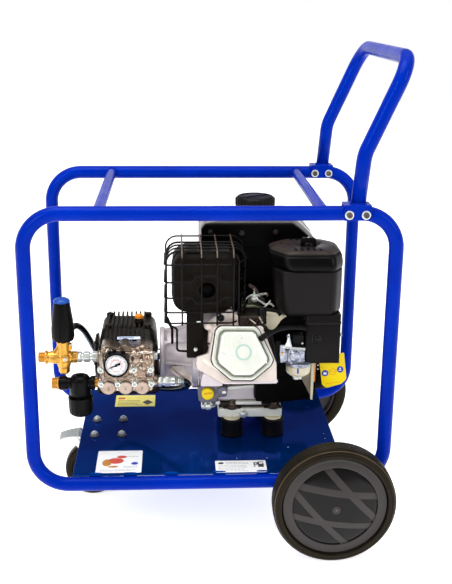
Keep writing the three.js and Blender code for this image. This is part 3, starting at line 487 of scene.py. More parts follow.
def make_materials():
    """Every material: its name, two colours, roughness, patch scale, then metal and the rest."""
    return {
        "blue": surface("blue_powder_coat", (0, 40, 162), (0, 32, 142), (0.26, 0.36), 9, bumps=(260, 0.05),
            coat=(0.05, 0.05), specular=0.1, tint=(0, 120, 255)),
        "navy": surface("navy_plate_paint", (0, 70, 160), (0, 52, 130), (0.06, 0.14), 7, 0.7,
            bumps=(300, 0.03), specular=0.3, tint=(0, 150, 240)),
        "plastic": surface("black_plastic", (8, 7, 8), (5, 5, 5), (0.3, 0.42), 14, grain=(1500, 0.05),
            specular=0.1),
        "cleaner": surface("warm_black_plastic", (22, 19, 19), (17, 15, 15), (0.36, 0.48), 6,
            grain=(1300, 0.05), specular=0.12),
        # painted reflection: a lighter colour for the lid's top, standing for the bright backdrop it
        # reflects
        "lid": surface("lid_top_painted_reflection", (50, 43, 40), (40, 34, 31), (0.3, 0.4), 6, grain=(1300, 0.04),
            specular=0.2, tint=(255, 240, 230)),
        # bronze for brown nuts, studs and small linkage parts; on the guard wires' bends it is a painted
        # highlight
        "bronze": surface("bronze_and_painted_highlight", (116, 98, 86), (72, 58, 50), (0.34, 0.46), 60, 0.5,
            grain=(700, 0.05)),
        "tan": surface("moulding_line", (120, 100, 70), (90, 74, 52), (0.4, 0.5), 90),
        "olive": surface("olive_plate", (96, 104, 76), (60, 62, 44), (0.3, 0.42), 60, 0.5,
            grain=(700, 0.05)),
        "carb": surface("bright_die_casting", (196, 202, 214), (120, 126, 142), (0.24, 0.36), 60, 0.75,
            grain=(800, 0.08), bumps=(160, 0.3)),
        # painted shade: a darker cream for the shaded face of the guide on the blower
        "guide": surface("guide_painted_shade", (150, 142, 118), (112, 104, 84), (0.5, 0.6), 12,
            grain=(600, 0.04)),
        "black_paint": surface("black_sheet_paint", (5, 4, 4), (3, 3, 3), (0.4, 0.55), 18, bumps=(240, 0.08),
            specular=0.04),
        "pump_black": surface("pump_casting_paint", (10, 8, 7), (6, 5, 4), (0.3, 0.44), 20, grain=(700, 0.1),
            specular=0.08, wear=(70, 54, 44)),
        "muffler": surface("muffler_paint", (22, 17, 13), (15, 12, 9), (0.42, 0.55), 12, bumps=(420, 0.08),
            specular=0.06, dust=(34, 26, 19)),
        "wire": surface("guard_wire", (7, 6, 6), (10, 8, 7), (0.28, 0.4), 30, bumps=(500, 0.03),
            specular=0.12),
        "cast": surface("cast_aluminium", (222, 214, 216), (196, 188, 192), (0.36, 0.48), 10, 0.3,
            grain=(900, 0.1), bumps=(60, 0.15)),
        "pink_cast": surface("warm_cast_aluminium", (232, 222, 214), (206, 192, 182), (0.4, 0.5), 10, 0.3,
            grain=(800, 0.08), bumps=(50, 0.15)),
        "grey_cast": surface("grey_cast_aluminium", (128, 125, 136), (98, 95, 108), (0.36, 0.48), 14, 0.4,
            grain=(900, 0.1)),
        "fins": surface("dark_cast_fins", (52, 42, 36), (28, 22, 20), (0.36, 0.5), 22, 0.5,
            grain=(900, 0.12)),
        "zinc": surface("zinc_plate", (222, 226, 220), (206, 211, 204), (0.28, 0.36), 30, 0.7),
        "steel": surface("turned_steel", (215, 215, 214), (185, 185, 186), (0.18, 0.3), 70, 1.0,
            grain=(1800, 0.015)),
        # white stamped steel for the rocker cover; on the crankcase's ledges and foot it is painted light
        "white_steel": surface("white_steel_and_painted_light", (232, 233, 224), (220, 224, 212), (0.26, 0.36), 24,
            0.2, grain=(500, 0.03)),
        # painted shade: a darker grey-green for the groove round the rocker cover's raised middle
        "groove": surface("groove_painted_shade", (120, 128, 108), (92, 100, 84), (0.5, 0.6), 40, 0.2,
            grain=(600, 0.05)),
        "mint": surface("mint_ring", (160, 196, 184), (184, 206, 196), (0.3, 0.4), 60, 0.1,
            grain=(600, 0.02)),
        "tank": surface("grey_tank_paint", (124, 120, 118), (108, 104, 102), (0.22, 0.32), 8,
            bumps=(200, 0.05), coat=(0.1, 0.08)),
        "nickel": surface("nickel_plated_brass", (152, 130, 110), (108, 88, 72), (0.24, 0.36), 30, 0.9,
            grain=(500, 0.06), bumps=(90, 0.3), wear=(240, 226, 210)),
        "nickel_cap": surface("turned_nickel", (178, 160, 146), (148, 130, 116), (0.26, 0.36), 60, 0.9,
            grain=(900, 0.03)),
        "brass": surface("brass", (226, 172, 76), (206, 150, 58), (0.26, 0.38), 50, 0.75, grain=(700, 0.04),
            bumps=(140, 0.12), dust=(180, 124, 44)),
        "rubber": surface("black_rubber", (8, 7, 7), (11, 10, 10), (0.4, 0.54), 25, grain=(900, 0.05),
            specular=0.12),
        "hose": surface("hose_rubber", (6, 10, 13), (10, 14, 17), (0.16, 0.26), 25, bumps=(300, 0.04),
            specular=0.5, tint=(200, 230, 255)),
        "tyre": surface("tyre_rubber", (13, 11, 8), (20, 17, 12), (0.34, 0.46), 20, grain=(1000, 0.06),
            specular=0.16, tint=(255, 236, 200)),
        "wheel": surface("wheel_plastic", (46, 40, 39), (38, 34, 33), (0.4, 0.52), 10, grain=(1300, 0.04),
            specular=0.35),
        "wheel_gloss": surface("glossy_wheel_panel", (20, 18, 18), (15, 14, 14), (0.12, 0.2), 10,
            grain=(1300, 0.02), specular=0.15),
        "yellow": surface("yellow_plastic", (255, 226, 0), (246, 212, 0), (0.3, 0.42), 40,
            grain=(1200, 0.03), specular=0.3),
        "amber": surface("amber_plastic", (240, 176, 0), (226, 160, 0), (0.3, 0.42), 40, grain=(1200, 0.03),
            specular=0.3),
        "orange": surface("orange_plastic", (244, 150, 10), (232, 132, 6), (0.35, 0.45), 40,
            grain=(1200, 0.03)),
        "blue_cap": surface("blue_plastic", (4, 76, 168), (4, 62, 148), (0.3, 0.4), 40, grain=(1200, 0.03),
            specular=0.4),
        "cream": surface("cream_plastic", (232, 226, 200), (214, 204, 172), (0.35, 0.45), 30,
            grain=(1000, 0.04)),
        # white print on labels and gauge; on the rocker cover's ribs it is a painted highlight
        "white": surface("white_print_and_rib_highlight", (244, 245, 246), (236, 237, 240), (0.35, 0.45), 50,
            grain=(1500, 0.01)),
        "pale_yellow": surface("pale_yellow_print", (244, 232, 130), (238, 224, 110), (0.35, 0.5), 50,
            grain=(1500, 0.01)),
        "ink": surface("dark_ink", (40, 40, 44), (60, 60, 64), (0.4, 0.5), 60),
        "faint_ink": surface("grey_ink", (150, 150, 152), (170, 170, 172), (0.4, 0.5), 60),
        "gold_ink": surface("gold_ink", (196, 140, 60), (170, 110, 40), (0.4, 0.5), 90),
        "blue_ink": surface("blue_ink", (20, 50, 160), (24, 64, 180), (0.4, 0.5), 60),
        "red_ink": surface("red_ink", (196, 60, 50), (210, 90, 70), (0.4, 0.5), 60),
        "gauge_red": surface("pale_red_print", (236, 130, 112), (226, 110, 96), (0.4, 0.5), 60),
        "silver": surface("silver_foil", (150, 156, 168), (120, 128, 142), (0.3, 0.4), 80, 0.8),
        "iron": surface("machined_iron", (120, 116, 112), (90, 86, 84), (0.3, 0.45), 40, 1.0,
            grain=(900, 0.03)),
        "paper": surface("pleated_paper", (222, 206, 160), (200, 180, 130), (0.8, 0.9), 60,
            grain=(1500, 0.06)),
        "glass": gauge_glass(),
    }


def gauge_glass():
    material = bpy.data.materials.new("gauge_glass")
    material.use_nodes = True
    tree = material.node_tree
    shader = tree.nodes["Principled BSDF"]
    shader.inputs["Base Color"].default_value = (1, 1, 1, 1)
    shader.inputs["Transmission Weight"].default_value = 1.0
    shader.inputs["IOR"].default_value = 1.1
    tree.links.new(spread(tree, noise(tree, 60), 0.02, 0.05), shader.inputs["Roughness"])
    return material


# ---- stage and camera
FLOOR_GLOW = 0.72
DIM_SIDE, BRIGHT_SIDE = 0.2, 1.1
LAMPS = (  # name, place in metres, size in metres, watts, colour
    ("overhead", (-0.3, -0.5, 2.9), (2.0, 1.4), 52, (1, 1, 1)),
    ("key_left", (-2.2, -2.6, 2.0), (1.3, 1.5), 46, (1, 0.99, 0.98)),
    ("fill_right", (2.5, -1.9, 1.7), (0.9, 1.6), 30, (0.99, 0.99, 1)),
)
CAMERA = {"location": (-0.0740, -1.9844, 1.0813), "yaw": 3.217, "pitch": 16.924, "roll": 0.568,
    "lens": 58.79}


def make_stage():
    floor = bpy.data.meshes.new("floor")
    size = 9
    z = cad_bounds[0].z - 0.0004
    floor.from_pydata([(-size, -size, z), (size, -size, z), (size, size, z), (-size, size, z)], [],
        [(0, 1, 2, 3)])
    obj = bpy.data.objects.new("floor", floor)
    scene.collection.objects.link(obj)
    material = surface("studio_floor", (252, 251, 252), (248, 247, 249), (0.85, 0.95), 1, specular=0.05)
    glow = material.node_tree.nodes["Principled BSDF"]
    glow.inputs["Emission Color"].default_value = (1, 0.995, 1, 1)
    glow.inputs["Emission Strength"].default_value = FLOOR_GLOW
    floor.materials.append(material)
    make_world()
    for name, place_at, size, power, colour in LAMPS:
        lamp = bpy.data.lights.new(name, "AREA")
        lamp.shape = "RECTANGLE"
        lamp.size, lamp.size_y = size
        lamp.energy = power
        lamp.color = colour
        obj = bpy.data.objects.new(name, lamp)
        scene.collection.objects.link(obj)
        obj.location = place_at
        obj.rotation_euler = (Vector((0, 0, 0.4)) - Vector(place_at)).to_track_quat("-Z", "Y").to_euler()


def make_world():
    """A white backdrop. It lights the machine dimly in front, and brightly low down behind and overhead."""
    world = bpy.data.worlds.new("studio")
    scene.world = world
    world.use_nodes = True
    tree = world.node_tree
    sky = tree.nodes["Background"]
    way = node(tree, "ShaderNodeSeparateXYZ", {0: node(tree, "ShaderNodeTexCoord").outputs["Generated"]})
    behind = spread(tree, way.outputs["Y"], 0, 1, -0.1, 0.55)
    low = spread(tree, way.outputs["Z"], 1, 0, 0.16, 0.4)
    wall = node(tree, "ShaderNodeMath", {0: behind, 1: low}, operation="MULTIPLY").outputs[0]
    overhead = spread(tree, way.outputs["Z"], 0, 1, 0.55, 0.95)
    light = node(tree, "ShaderNodeMath", {0: wall, 1: overhead}, operation="MAXIMUM").outputs[0]
    level = spread(tree, light, DIM_SIDE, BRIGHT_SIDE, 0, 1)
    seen = node(tree, "ShaderNodeLightPath").outputs["Is Camera Ray"]
    strength = node(tree, "ShaderNodeMix", {0: seen, 2: level, 3: 1.0}, data_type="FLOAT").outputs[0]
    tree.links.new(strength, sky.inputs["Strength"])
    sky.inputs["Color"].default_value = (1, 0.997, 1, 1)


def make_camera():
    data = bpy.data.cameras.new("camera")
    data.lens, data.sensor_width = CAMERA["lens"], 36
    obj = bpy.data.objects.new("camera", data)
    scene.collection.objects.link(obj)
    yaw, pitch, roll = (radians(CAMERA[k]) for k in ("yaw", "pitch", "roll"))
    ahead = Vector((sin(yaw) * cos(pitch), cos(yaw) * cos(pitch), -sin(pitch)))
    right = Vector((cos(yaw), -sin(yaw), 0))
    up = right.cross(ahead)
    rolled_right = right * cos(roll) + up * sin(roll)
    rolled_up = up * cos(roll) - right * sin(roll)
    turn = Matrix((rolled_right, rolled_up, -ahead)).transposed()
    obj.matrix_world = Matrix.Translation(CAMERA["location"]) @ turn.to_4x4()
    scene.camera = obj
    scene.view_settings.view_transform = "Standard"


# ---- frame
def weld_ring(form, x, side):
    """The bead where a top bar meets a side loop."""
    ring = []
    for i in range(72):
        u, v = on_circle((0, 0), 11.6, tau * i / 72)
        ring.append((x + u, side * (LOOP_Y - sqrt(TUBE ** 2 - v ** 2) - 0.3), LOOP_TOP + v))
    form.sweep(ring, lambda t: 2.1 + 0.45 * sin(t * tau * 18), 8, closed=True)


def stitch_weld(form, start, end):
    """A short rippled bead along the plate's edge."""
    a, b = Vector(start), Vector(end)
    route = [a.lerp(b, i / 36) for i in range(37)]
    form.sweep(route, lambda t: (2.4 + 0.5 * sin(t * tau * 8))
        * (0.35 + 0.65 * sin(pi * min(max(t, 0.02), 0.98)) ** 0.35), 8)


def make_frame():
    for name, side in (("near", -1), ("far", 1)):
        y = side * LOOP_Y
        corners = [(-LOOP_X, y, 0), (LOOP_X, y, 0), (LOOP_X, y, LOOP_TOP), (-LOOP_X, y, LOOP_TOP)]
        form = Form().sweep(fillet(corners, LOOP_BEND, 14, closed=True), TUBE, 36, closed=True)
        piece(f"{name}_loop_tube", form, "blue", f"{name}_side_loop")
    for name, x in (("pump_end", -214), ("wheel_end", 214)):
        form = Form().rod("y", (x, LOOP_TOP), 11, (-LOOP_Y + TUBE - 4, LOOP_Y - TUBE + 4), 32)
        for side in (-1, 1):
            weld_ring(form, x, side)
        piece(f"{name}_cross_tube", form, "blue", f"{name}_top_bar")
    make_handle()
    make_plate()
    axle = Form().rod("y", WHEEL, 8, (-304, 304), 32, 1.0)
    for side in (-1, 1):
        axle.pipe("y", WHEEL, 14, 8.1, sorted((side * 250.5, side * 253.5)), 32, 0.4)
        axle.rod("x", (side * 248.6, WHEEL_Z), 1.6, (WHEEL_X - 12, WHEEL_X + 12), 10)
    piece("axle_bar", axle, "zinc", "rear_axle")


def make_handle():
    leg = [(277, 577), (284.8, 672), (362.5, 847.6)]
    corners = [(x, -LOOP_Y, z) for x, z in leg] + [(x, LOOP_Y, z) for x, z in leg[::-1]]
    form = Form().sweep(fillet(corners, [0, 80, 55, 55, 80, 0], 12), TUBE, 36)
    half, wall, top = 18.9, 4, 579.9
    inner = half - wall
    for side in (-1, 1):
        y = side * LOOP_Y
        outline = soften([(-half, 550), (-inner, 550), (-inner, top - wall), (inner, top - wall),
            (inner, 550), (half, 550), (half, top), (-half, top)], 1.2, 2)
        form.prism("x", [(y + u, v) for u, v in outline], (249, 300), 0.7)
        ring = [(*on_circle((277, y), 14.9, tau * i / 60), top + 0.6) for i in range(60)]
        form.sweep(ring, lambda t: 2.0 + 0.4 * sin(t * tau * 16), 8, closed=True)
    for side in (-1, 1):
        for x in (258, 290):
            face = side * LOOP_Y - half
            form.mark = 1
            form.rod("y", (x, LOOP_TOP), 8.6, (face - 1.7, face + 0.5), 32, 0.4)
            back = side * LOOP_Y + half
            form.rod("y", (x, LOOP_TOP), 8.6, (back - 0.5, back + 1.7), 32, 0.4)
            form.hex_bolt("y", (x, LOOP_TOP), back + 1.7, 7.4, 6, 1, washer=False)
            form.rod("y", (x, LOOP_TOP), 3.9, (back + 7, back + 9.5), 20, 0.5)
            form.mark = 2
            form.socket_bolt("y", (x, LOOP_TOP), face - 1.7, 5.6, 4.4, -1)
    piece("handle_tube", form, "blue zinc iron", "handle")


PLATE_HOLES = ((198, 57.5), (198, 31), (262, 57.6), (262, 31.7), (262, -40), (261, -66), (174, -108),
    (123, -157), (59, -156), (245, 99), (243, -106))


def make_plate():
    form = Form()
    form.block((-280, 280), (-224.5, 224.5), (14.6, PLATE_TOP), 0.5)
    for side in (-1, 1):
        y = side * 200
        outline = soften([(WHEEL_X - 19, 15), (WHEEL_X - 19, -22), (WHEEL_X - 10, -31.5),
            (WHEEL_X + 10, -31.5), (WHEEL_X + 19, -22), (WHEEL_X + 19, 15)], 3)
        form.prism("y", outline, (y - 3, y + 3), 0.5)
        for edge in (-3.4, 3.4):
            stitch_weld(form, (WHEEL_X - 17, y + edge, 14.2), (WHEEL_X + 17, y + edge, 14.2))
    plate = piece("deck_plate", form, "navy", "base_plate")
    cutter = Form()
    for centre in PLATE_HOLES:
        cutter.rod("z", centre, 3.6, (10, 22), 20)
    cutter.rod("y", WHEEL, 8.4, (-210, 210), 32)
    carve(plate, cutter)
    beads = Form()
    for side in (-1, 1):
        for x in (-246, -176, -92, 6, 96, 186):
            stitch_weld(beads, (x, side * 219.6, PLATE_TOP + 0.4), (x + 26, side * 219.6, PLATE_TOP + 0.4))
            stitch_weld(beads, (x, side * 220.5, 13.4), (x + 26, side * 220.5, 13.4))
    piece("deck_welds", beads, "navy")


# ---- labels, all without words
def lines(form, x, y, z, rows, height):
    """Rows of short bars that stand for lines of small print, on a level face at z."""
    step = (y[1] - y[0]) / rows
    for row in range(rows):
        start = x[0]
        base = y[0] + step * (row + 0.3)
        stop = x[1] - (x[1] - x[0]) * 0.2 * random.random()
        while start < stop - 1:
            end = min(start + random.uniform(3, 9), stop)
            form.block((start, end), (base, base + height), (z, z + 0.12))
            start = end + 1.3


def make_labels():
    top = PLATE_TOP + 0.1
    sheet = top + 0.35
    form = Form()
    form.prism("z", rounded((-235, -141), (-217, -117), 3), (top, sheet))
    for mark, x, y, radius, squash in ((1, -156, -176, 7, (1, 0.9, 0.02)), (2, -196, -164, 13,
            (1.3, 1.0, 0.012)), (2, -184, -146, 8, (1.3, 0.8, 0.02)), (4, -214, -172, 12,
            (0.8, 1.3, 0.014)), (4, -200, -190, 7, (1.6, 0.6, 0.022))):
        form.mark = mark
        form.ball((x, y, sheet), radius, squash)
    form.mark = 3
    lines(form, (-178, -148), (-196, -186), sheet, 2, 1.8)
    lines(form, (-226, -150), (-211, -202), sheet, 2, 1.6)
    lines(form, (-176, -146), (-148, -140), sheet, 1, 1.8)
    piece("plain_deck_label_left", form, "white blue_ink red_ink faint_ink gold_ink")

    form = Form()
    form.prism("z", rounded((12, 118), (-223, -171), 2), (top, sheet))
    form.mark = 1
    lines(form, (18, 84), (-219, -190), sheet, 5, 1.5)
    lines(form, (34, 84), (-188, -177), sheet, 2, 1.6)
    form.mark = 2
    form.ball((24, -182, sheet), 5, (1.2, 0.9, 0.03))
    for i in range(7):  # a small checker block
        for j in range(7):
            if random.random() < 0.55:
                form.block((92 + i * 3, 95 + i * 3), (-201 + j * 3.4, -197.6 + j * 3.4),
                    (sheet, sheet + 0.12))
    piece("plain_deck_label_middle", form, "white faint_ink ink")

    form = Form()
    low, high = 117, 185
    form.prism("z", rounded((-214, -119), (low, high), 1.5), (top, sheet))
    form.mark = 1
    form.prism("z", [(-150, low + 24), (-137, low + 9), (-124, low + 24), (-137, low + 39)],
        (sheet, sheet + 0.12))
    lines(form, (-208, -152), (low + 6, low + 40), sheet, 4, 2.0)
    form.mark = 2
    form.block((-208, -192), (low + 44, low + 54), (sheet, sheet + 0.12))
    piece("plain_pump_label", form, "pale_yellow ink red_ink")


# ---- rear wheels
def make_wheels():
    for name, side in (("near", -1), ("far", 1)):
        make_tyre(name, side)
        make_rim(name, side)
        make_wheel_cover(name, side)


def make_tyre(name, side):
    radius, inner, outer = 124, WHEEL_INNER, WHEEL_OUTER
    profile = [(96, inner + 5), (99, inner + 1.8), (104, inner + 0.4), (113, inner), (118, inner + 1.2)]
    for k in range(3):  # ribs round the inner shoulder
        a = inner + 2.4 + k * 2.4
        r = 119.6 + k * 1.5
        profile += [(r, a), (r + 0.9, a + 0.5), (r + 0.9, a + 1.3), (r, a + 1.8)]
    grooves = 5
    width = outer - inner - 24
    for k in range(grooves):  # ribs round the tread
        a = inner + 12 + width * k / grooves
        b = a + width / grooves
        crown = radius - 0.9 * abs((k + 0.5) / grooves - 0.5)
        profile += [(crown - 1.9, a + 0.2), (crown, a + 0.9), (crown, b - 1.5), (crown - 1.9, b - 0.9)]
    for k in range(3)[::-1]:
        a = outer - 2.4 - k * 2.4
        r = 119.6 + k * 1.5
        profile += [(r, a - 1.8), (r + 0.9, a - 1.3), (r + 0.9, a - 0.5), (r, a)]
    profile += [(118, outer - 0.9), (115.2, outer - 0.3), (114.6, outer - 1.2), (113.8, outer - 1.2),
        (113.2, outer - 0.2), (109, outer), (107.4, outer - 0.6), (106.4, outer - 2), (106, outer - 9.4),
        (96, outer - 9.4)]
    form = Form().lathe("y", WHEEL, profile, 128, side=side)
    form.mark = 1  # the moulding line on the outer shoulder
    form.lathe("y", WHEEL, [(119.4, -5.4), (121.2, -5.4), (121.2, -4.4), (119.4, -4.4)], 128, start=outer,
        side=side)
    piece(f"{name}_ribbed_tyre", form, "tyre tan", f"{name}_tyre", body=f"{name}_wheel",
        sharp=40)


def make_rim(name, side):
    profile = [(8.2, -12), (17, -12), (18.5, -10.5), (20, 12), (24, 15), (84, 17), (88, 14), (90, 6.6),
        (92, 5), (95.6, 5.6), (95.6, 39.2), (90, 39.2), (88.6, 23), (84, 21), (20, 20), (18, 37.8),
        (8.2, 37.8)]
    form = Form().lathe("y", WHEEL, profile, 72, start=WHEEL_INNER, side=side)
    for _ in form.around("y", (WHEEL_X, 0, WHEEL_Z), 8):  # webs on the inner face
        form.block((17, 90), sorted((side * (WHEEL_INNER + 3), side * (WHEEL_INNER + 16))), (-1.8, 1.8), 0.5)
    form.mark = 1
    form.pipe("y", WHEEL, 12, 8.2, sorted((side * (WHEEL_INNER - 12.4), side * (WHEEL_INNER - 8))), 32)
    piece(f"{name}_wheel_disc", form, "wheel steel", f"{name}_rim", body=f"{name}_wheel",
        sharp=SHADED_SHARP)


def crown(radius, base, rise):
    """How far out the domed wheel cover, 88 mm in radius, stands at a radius."""
    return base + rise * (1 - (radius / 88) ** 2)


def chord_bar(form, middle, angle, half_width, reach, base, rise, side):
    """A flat bar that lies over the dome. middle is its distance from the wheel's centre."""
    steps = 16
    direction = Vector((cos(angle), sin(angle)))
    across = Vector((-direction.y, direction.x))
    verts = []
    for i in range(steps + 1):
        for edge, depth in ((-1, 3), (-1, 0.5), (-0.86, 0), (0.86, 0), (1, 0.5), (1, 3)):
            offset = middle + edge * half_width
            along = sqrt(reach ** 2 - offset ** 2) * (2 * i / steps - 1)
            point = direction * along + across * offset
            verts.append((WHEEL_X + point.x, side * (crown(point.length, base, rise) - depth),
                WHEEL_Z + point.y))
    form.add(verts, skin(steps + 1, 6))


def make_wheel_cover(name, side):
    base, rise = WHEEL_OUTER - 5, 16
    profile = [(86, -9), (104.6, -9), (104.6, -6.4), (103.8, -5.4), (101.6, -5), (99.4, -5.6), (98.4, -5.2),
        (93, -4.2), (88, -3.4), (85.8, -3.2), (85.2, -4), (85.2, -8)]
    form = Form().lathe("y", WHEEL, profile, 112, start=WHEEL_OUTER, side=side)
    form.mark = 2  # the glossy crowned panels between the bars
    panel = [(0, base - 4), (87, base - 4)] + [(r, crown(r, base, rise) - 1) for r in (87, 76, 62, 46, 30,
        14, 0)]
    form.lathe("y", WHEEL, panel, 112, side=side)
    form.mark = 0
    for middle, angle, lift in ((-38, -48, 0), (42, -48, 0), (-32, -9, -0.3), (35, -9, -0.3)):
        chord_bar(form, middle, radians(angle), 7, 86, base + lift, rise, side)
    tip = base + rise
    form.turned("y", WHEEL, [(8.4, -3), (8.4, -0.6), (7.4, 0), (4.4, 0), (3.6, -1)], 32, start=tip,
        side=side)
    form.mark = 1
    form.socket_bolt("y", WHEEL, side * (tip - 1.2), 2.6, 1.2, side)
    piece(f"{name}_wheel_cap", form, "wheel iron wheel_gloss", f"{name}_wheel_cover",
        body=f"{name}_wheel", sharp=SHADED_SHARP)


# ---- caster
def make_caster():
    wheel_x = CASTER_X - TRAIL
    form = Form()
    form.prism("z", rounded((CASTER_X - 46, CASTER_X + 46), (-54, 54), 7), (11, 14.3), 0.5)
    form.turned("z", (CASTER_X, 0), [(31, 11.2), (29, 10.8)], 48)
    for i in (-1, 1):
        for j in (-1, 1):
            centre = (CASTER_X + i * 30, j * 40)
            form.mark = 1
            form.rod("z", centre, 10.5, (PLATE_TOP + 0.2, PLATE_TOP + 1.9), 32, 0.4)
            form.mark = 0
            form.hex_bolt("z", centre, PLATE_TOP + 1.8, 7.8, 6.4, 1, washer=False)
            form.lathe("z", centre, [(0, 0), (4.4, 0), (4.4, 10), (3.4, 11.4), (0, 11.8)], 20,
                start=PLATE_TOP)
            form.hex_bolt("z", centre, 11, 7.4, 5, -1, washer=False)
    piece("caster_top_plate", form, "zinc iron", "caster_plate")

    form = Form()
    form.turned("z", (CASTER_X, 0), [(33, 3), (35, 4), (35.4, 6), (34, 8), (30, 9.6), (27, 10.5)], 56)
    form.prism("z", soften([(-291, -25), (-196, -25), (-189, -18), (-189, 18), (-196, 25), (-291, 25)], 4),
        (-1.6, 3.2), 0.9)
    leg = soften([(-299, -6), (-299, 9), (-283, 9), (-283, 3), (-192, 3), (-200, -14), (-243, -70),
        (-246, CASTER_Z - 10), (-257, CASTER_Z - 15), (-269, CASTER_Z - 9), (-273, -68), (-285, -24)],
        [0.8, 2, 2, 2, 6, 12, 8, 6, 9, 6, 16, 10], 4)
    for side in (-1, 1):
        form.prism("y", leg, sorted((side * 21.8, side * 25)), 0.8)
    form.turned("z", (CASTER_X, 0), [(6, -8, "hex"), (6, -2, "hex")], 24)
    piece("caster_yoke", form, "zinc", "caster_fork", body="caster_fork")

    form = Form().rod("y", (wheel_x, CASTER_Z), 5, (-30, 30), 24, 0.8)
    for side in (-1, 1):
        form.hex_bolt("y", (wheel_x, CASTER_Z), side * 25.1, 8.4, 5.6, side)
    piece("caster_wheel_bolt", form, "steel", "caster_axle_bolt", body="caster_fork")

    tread = [(45.2, -15), (47, -17.6), (52, -19), (57, -18.2), (60.6, -15), (62.2, -9)]
    form = Form().lathe("y", (wheel_x, CASTER_Z), mirrored(tread, [(62.5, 0)]), 80)
    piece("caster_tread", form, "tyre", "caster_tyre", body="caster_wheel")

    spider = [(5.3, -21), (10.5, -21), (11.5, -19.6), (12.5, -8), (16, -6.5), (38, -6.5), (41, -9),
        (42, -16), (44.8, -16.4)]
    form = Form().lathe("y", (wheel_x, CASTER_Z), mirrored(spider), 56)
    for _ in form.around("y", (wheel_x, 0, CASTER_Z), 6):
        form.block((11, 42), (-13, 13), (-1.6, 1.6), 0.5)
    piece("caster_spider", form, "wheel", "caster_hub", body="caster_wheel",
        sharp=SHADED_SHARP)

    x, z = -289, 4
    form = Form().rod("y", (x, z), 4, (-21, 21), 24, 0.6).rod("y", (x, z), 2.4, (-27, 27), 16, 0.5)
    pedal = [(x + 1, z + 3.2), (x - 12, z + 4.2), (x - 28, z + 0.8), (x - 42.5, z - 4.2)]
    under = [(u, v - 2.4) for u, v in pedal[::-1]]
    form.prism("y", soften(pedal + under, 0.6, 2), (-21.3, 21.3), 0.5)
    for k in range(3):
        form.block((x - 38 + k * 5, x - 36 + k * 5), (-15, 15), (z - 3.8 + k * 2.0, z - 1.6 + k * 2.0), 0.4)
    piece("caster_brake_lever", form, "zinc", "caster_brake_pedal", body="brake_pedal")


# ---- engine
def make_engine():
    for make in (make_crankcase, make_cylinder, make_rocker_cover, make_muffler, make_guard, make_tank,
            make_air_cleaner, make_carburetor, make_controls, make_blower, make_mounts):
        make()


DIPSTICK = (0.5, 124)
NEAR_STUDS, FAR_STUDS = ((55, -38), (146, -38)), ((55, 129), (146, 129))


def make_crankcase():
    form = Form()
    body = soften([(-26, 82), (-26, 150), (-20, 215), (0, 249.6), (90, 249.6), (117, 205), (117, 82)], 10, 4)
    form.prism("x", body, (22, 154.6), 2.5, 3)
    form.turned("x", CRANK, [(30, -15.5), (31, -13), (58, -12), (70, -9), (74.5, -4), (75, 0), (75, 22)], 72)
    form.turned("x", CRANK, [(78.5, 8), (78.5, 13.6)], 72, 0.8)
    for k in range(8):  # side cover bolts and the ribs between them
        angle = tau * k / 8 + 0.3
        centre = on_circle(CRANK, 70, angle)
        form.rod("x", centre, 7.5, (-6, 20), 24, 1)
        form.hex_bolt("x", centre, -6, 5.2, 5, -1)
        form.pivot("x", (0, *CRANK), angle + 0.39)
        form.block((-14, 2), (28, 66), (-1.8, 1.8), 0.8)
        form.level()
    for k in range(7):  # upright ribs over the filler
        form.block((-20 + k * 7, -17 + k * 7), (-40, -14), (134, 156 - k * 1.5), 1)
    form.block((24, 150), (-38, -20), (99, 128), 2)
    form.prism("y", soften([(-18, 162), (30, 162), (30, 186), (-12, 192)], 4), (-112, -50), 2)
    form.prism("y", soften([(-24, 236), (34, 236), (34, 319), (-16, 319), (-24, 300)], 5), (-60, -24), 3)
    form.mark = 5  # the ledges and the wide foot, with one straight edge to the near side. They take the brighter white steel as painted light, lit although the head shades them
    form.prism("y", soften([(44, 126), (104, 129), (104, 137.5), (44, 133.5)], 2.6, 4), (-45, -20), 1.6, 3)
    form.prism("y", rounded((62, 136), (89.5, 98), 3.4, 4), (-45, -20), 2, 3)
    form.rod("y", (23, 95), 5.4, (-46, -20), 24, 1.6)
    form.prism("z", rounded((24, 166), (-44, 144), 4), (59.9, 80.6), 2.4, 3)
    form.mark = 1  # the darker filler and low side of the case
    filler = soften([(-20, 103), (-21, 134), (-6, 140), (22, 138), (42, 138), (43, 112), (24, 110),
        (20, 99), (-14, 99)], 5, 4)
    form.prism("y", filler, (-51, 0), 2.4, 3)
    form.turned("y", DIPSTICK, [(14, -54.2), (16.6, -53), (17.6, -49), (18.5, -30)], 40)
    form.rod("y", (32, 126), 11.5, (-54, -20), 32, 2.4)
    form.mark = 2  # a dark block in the slot over the foot, painted shade for that recess, and the scalloped lugs round its studs
    form.block((26, 160), (-36, -20), (80, 92), 0.6)
    for x, _ in NEAR_STUDS:
        form.prism("z", soften([(x - 26, -43.4), (x + 26, -43.4), (x + 12, -28), (x - 12, -28)], 4),
            (74, 83.2), 1)
        form.rod("z", (x, -38), 13.4, (80, 85), 32, 1)
    form.mark = 4
    form.rod("z", (8, -34), 12, (84, 87.5), 32, 0.8)
    form.hex_bolt("y", (2, 87), -40, 7.5, 8, -1)
    form.rod("y", (-9, 86), 4.6, (-46, -20), 20, 0.8)
    form.hex_bolt("y", (80, 68), -44, 7.4, 5, -1)
    form.block((32, 41), (-54.8, -53), (121, 127), 0.6)
    # the black oil sensor box on the near side
    form.mark = 3
    form.prism("y", rounded((102, 157), (110, 146), 4), (-61.8, -27), 1.4, 3)
    form.block((118, 140), (-63, -30), (98, 111), 1)
    piece("engine_block", form, "cast grey_cast fins plastic zinc white_steel",
        "crankcase")


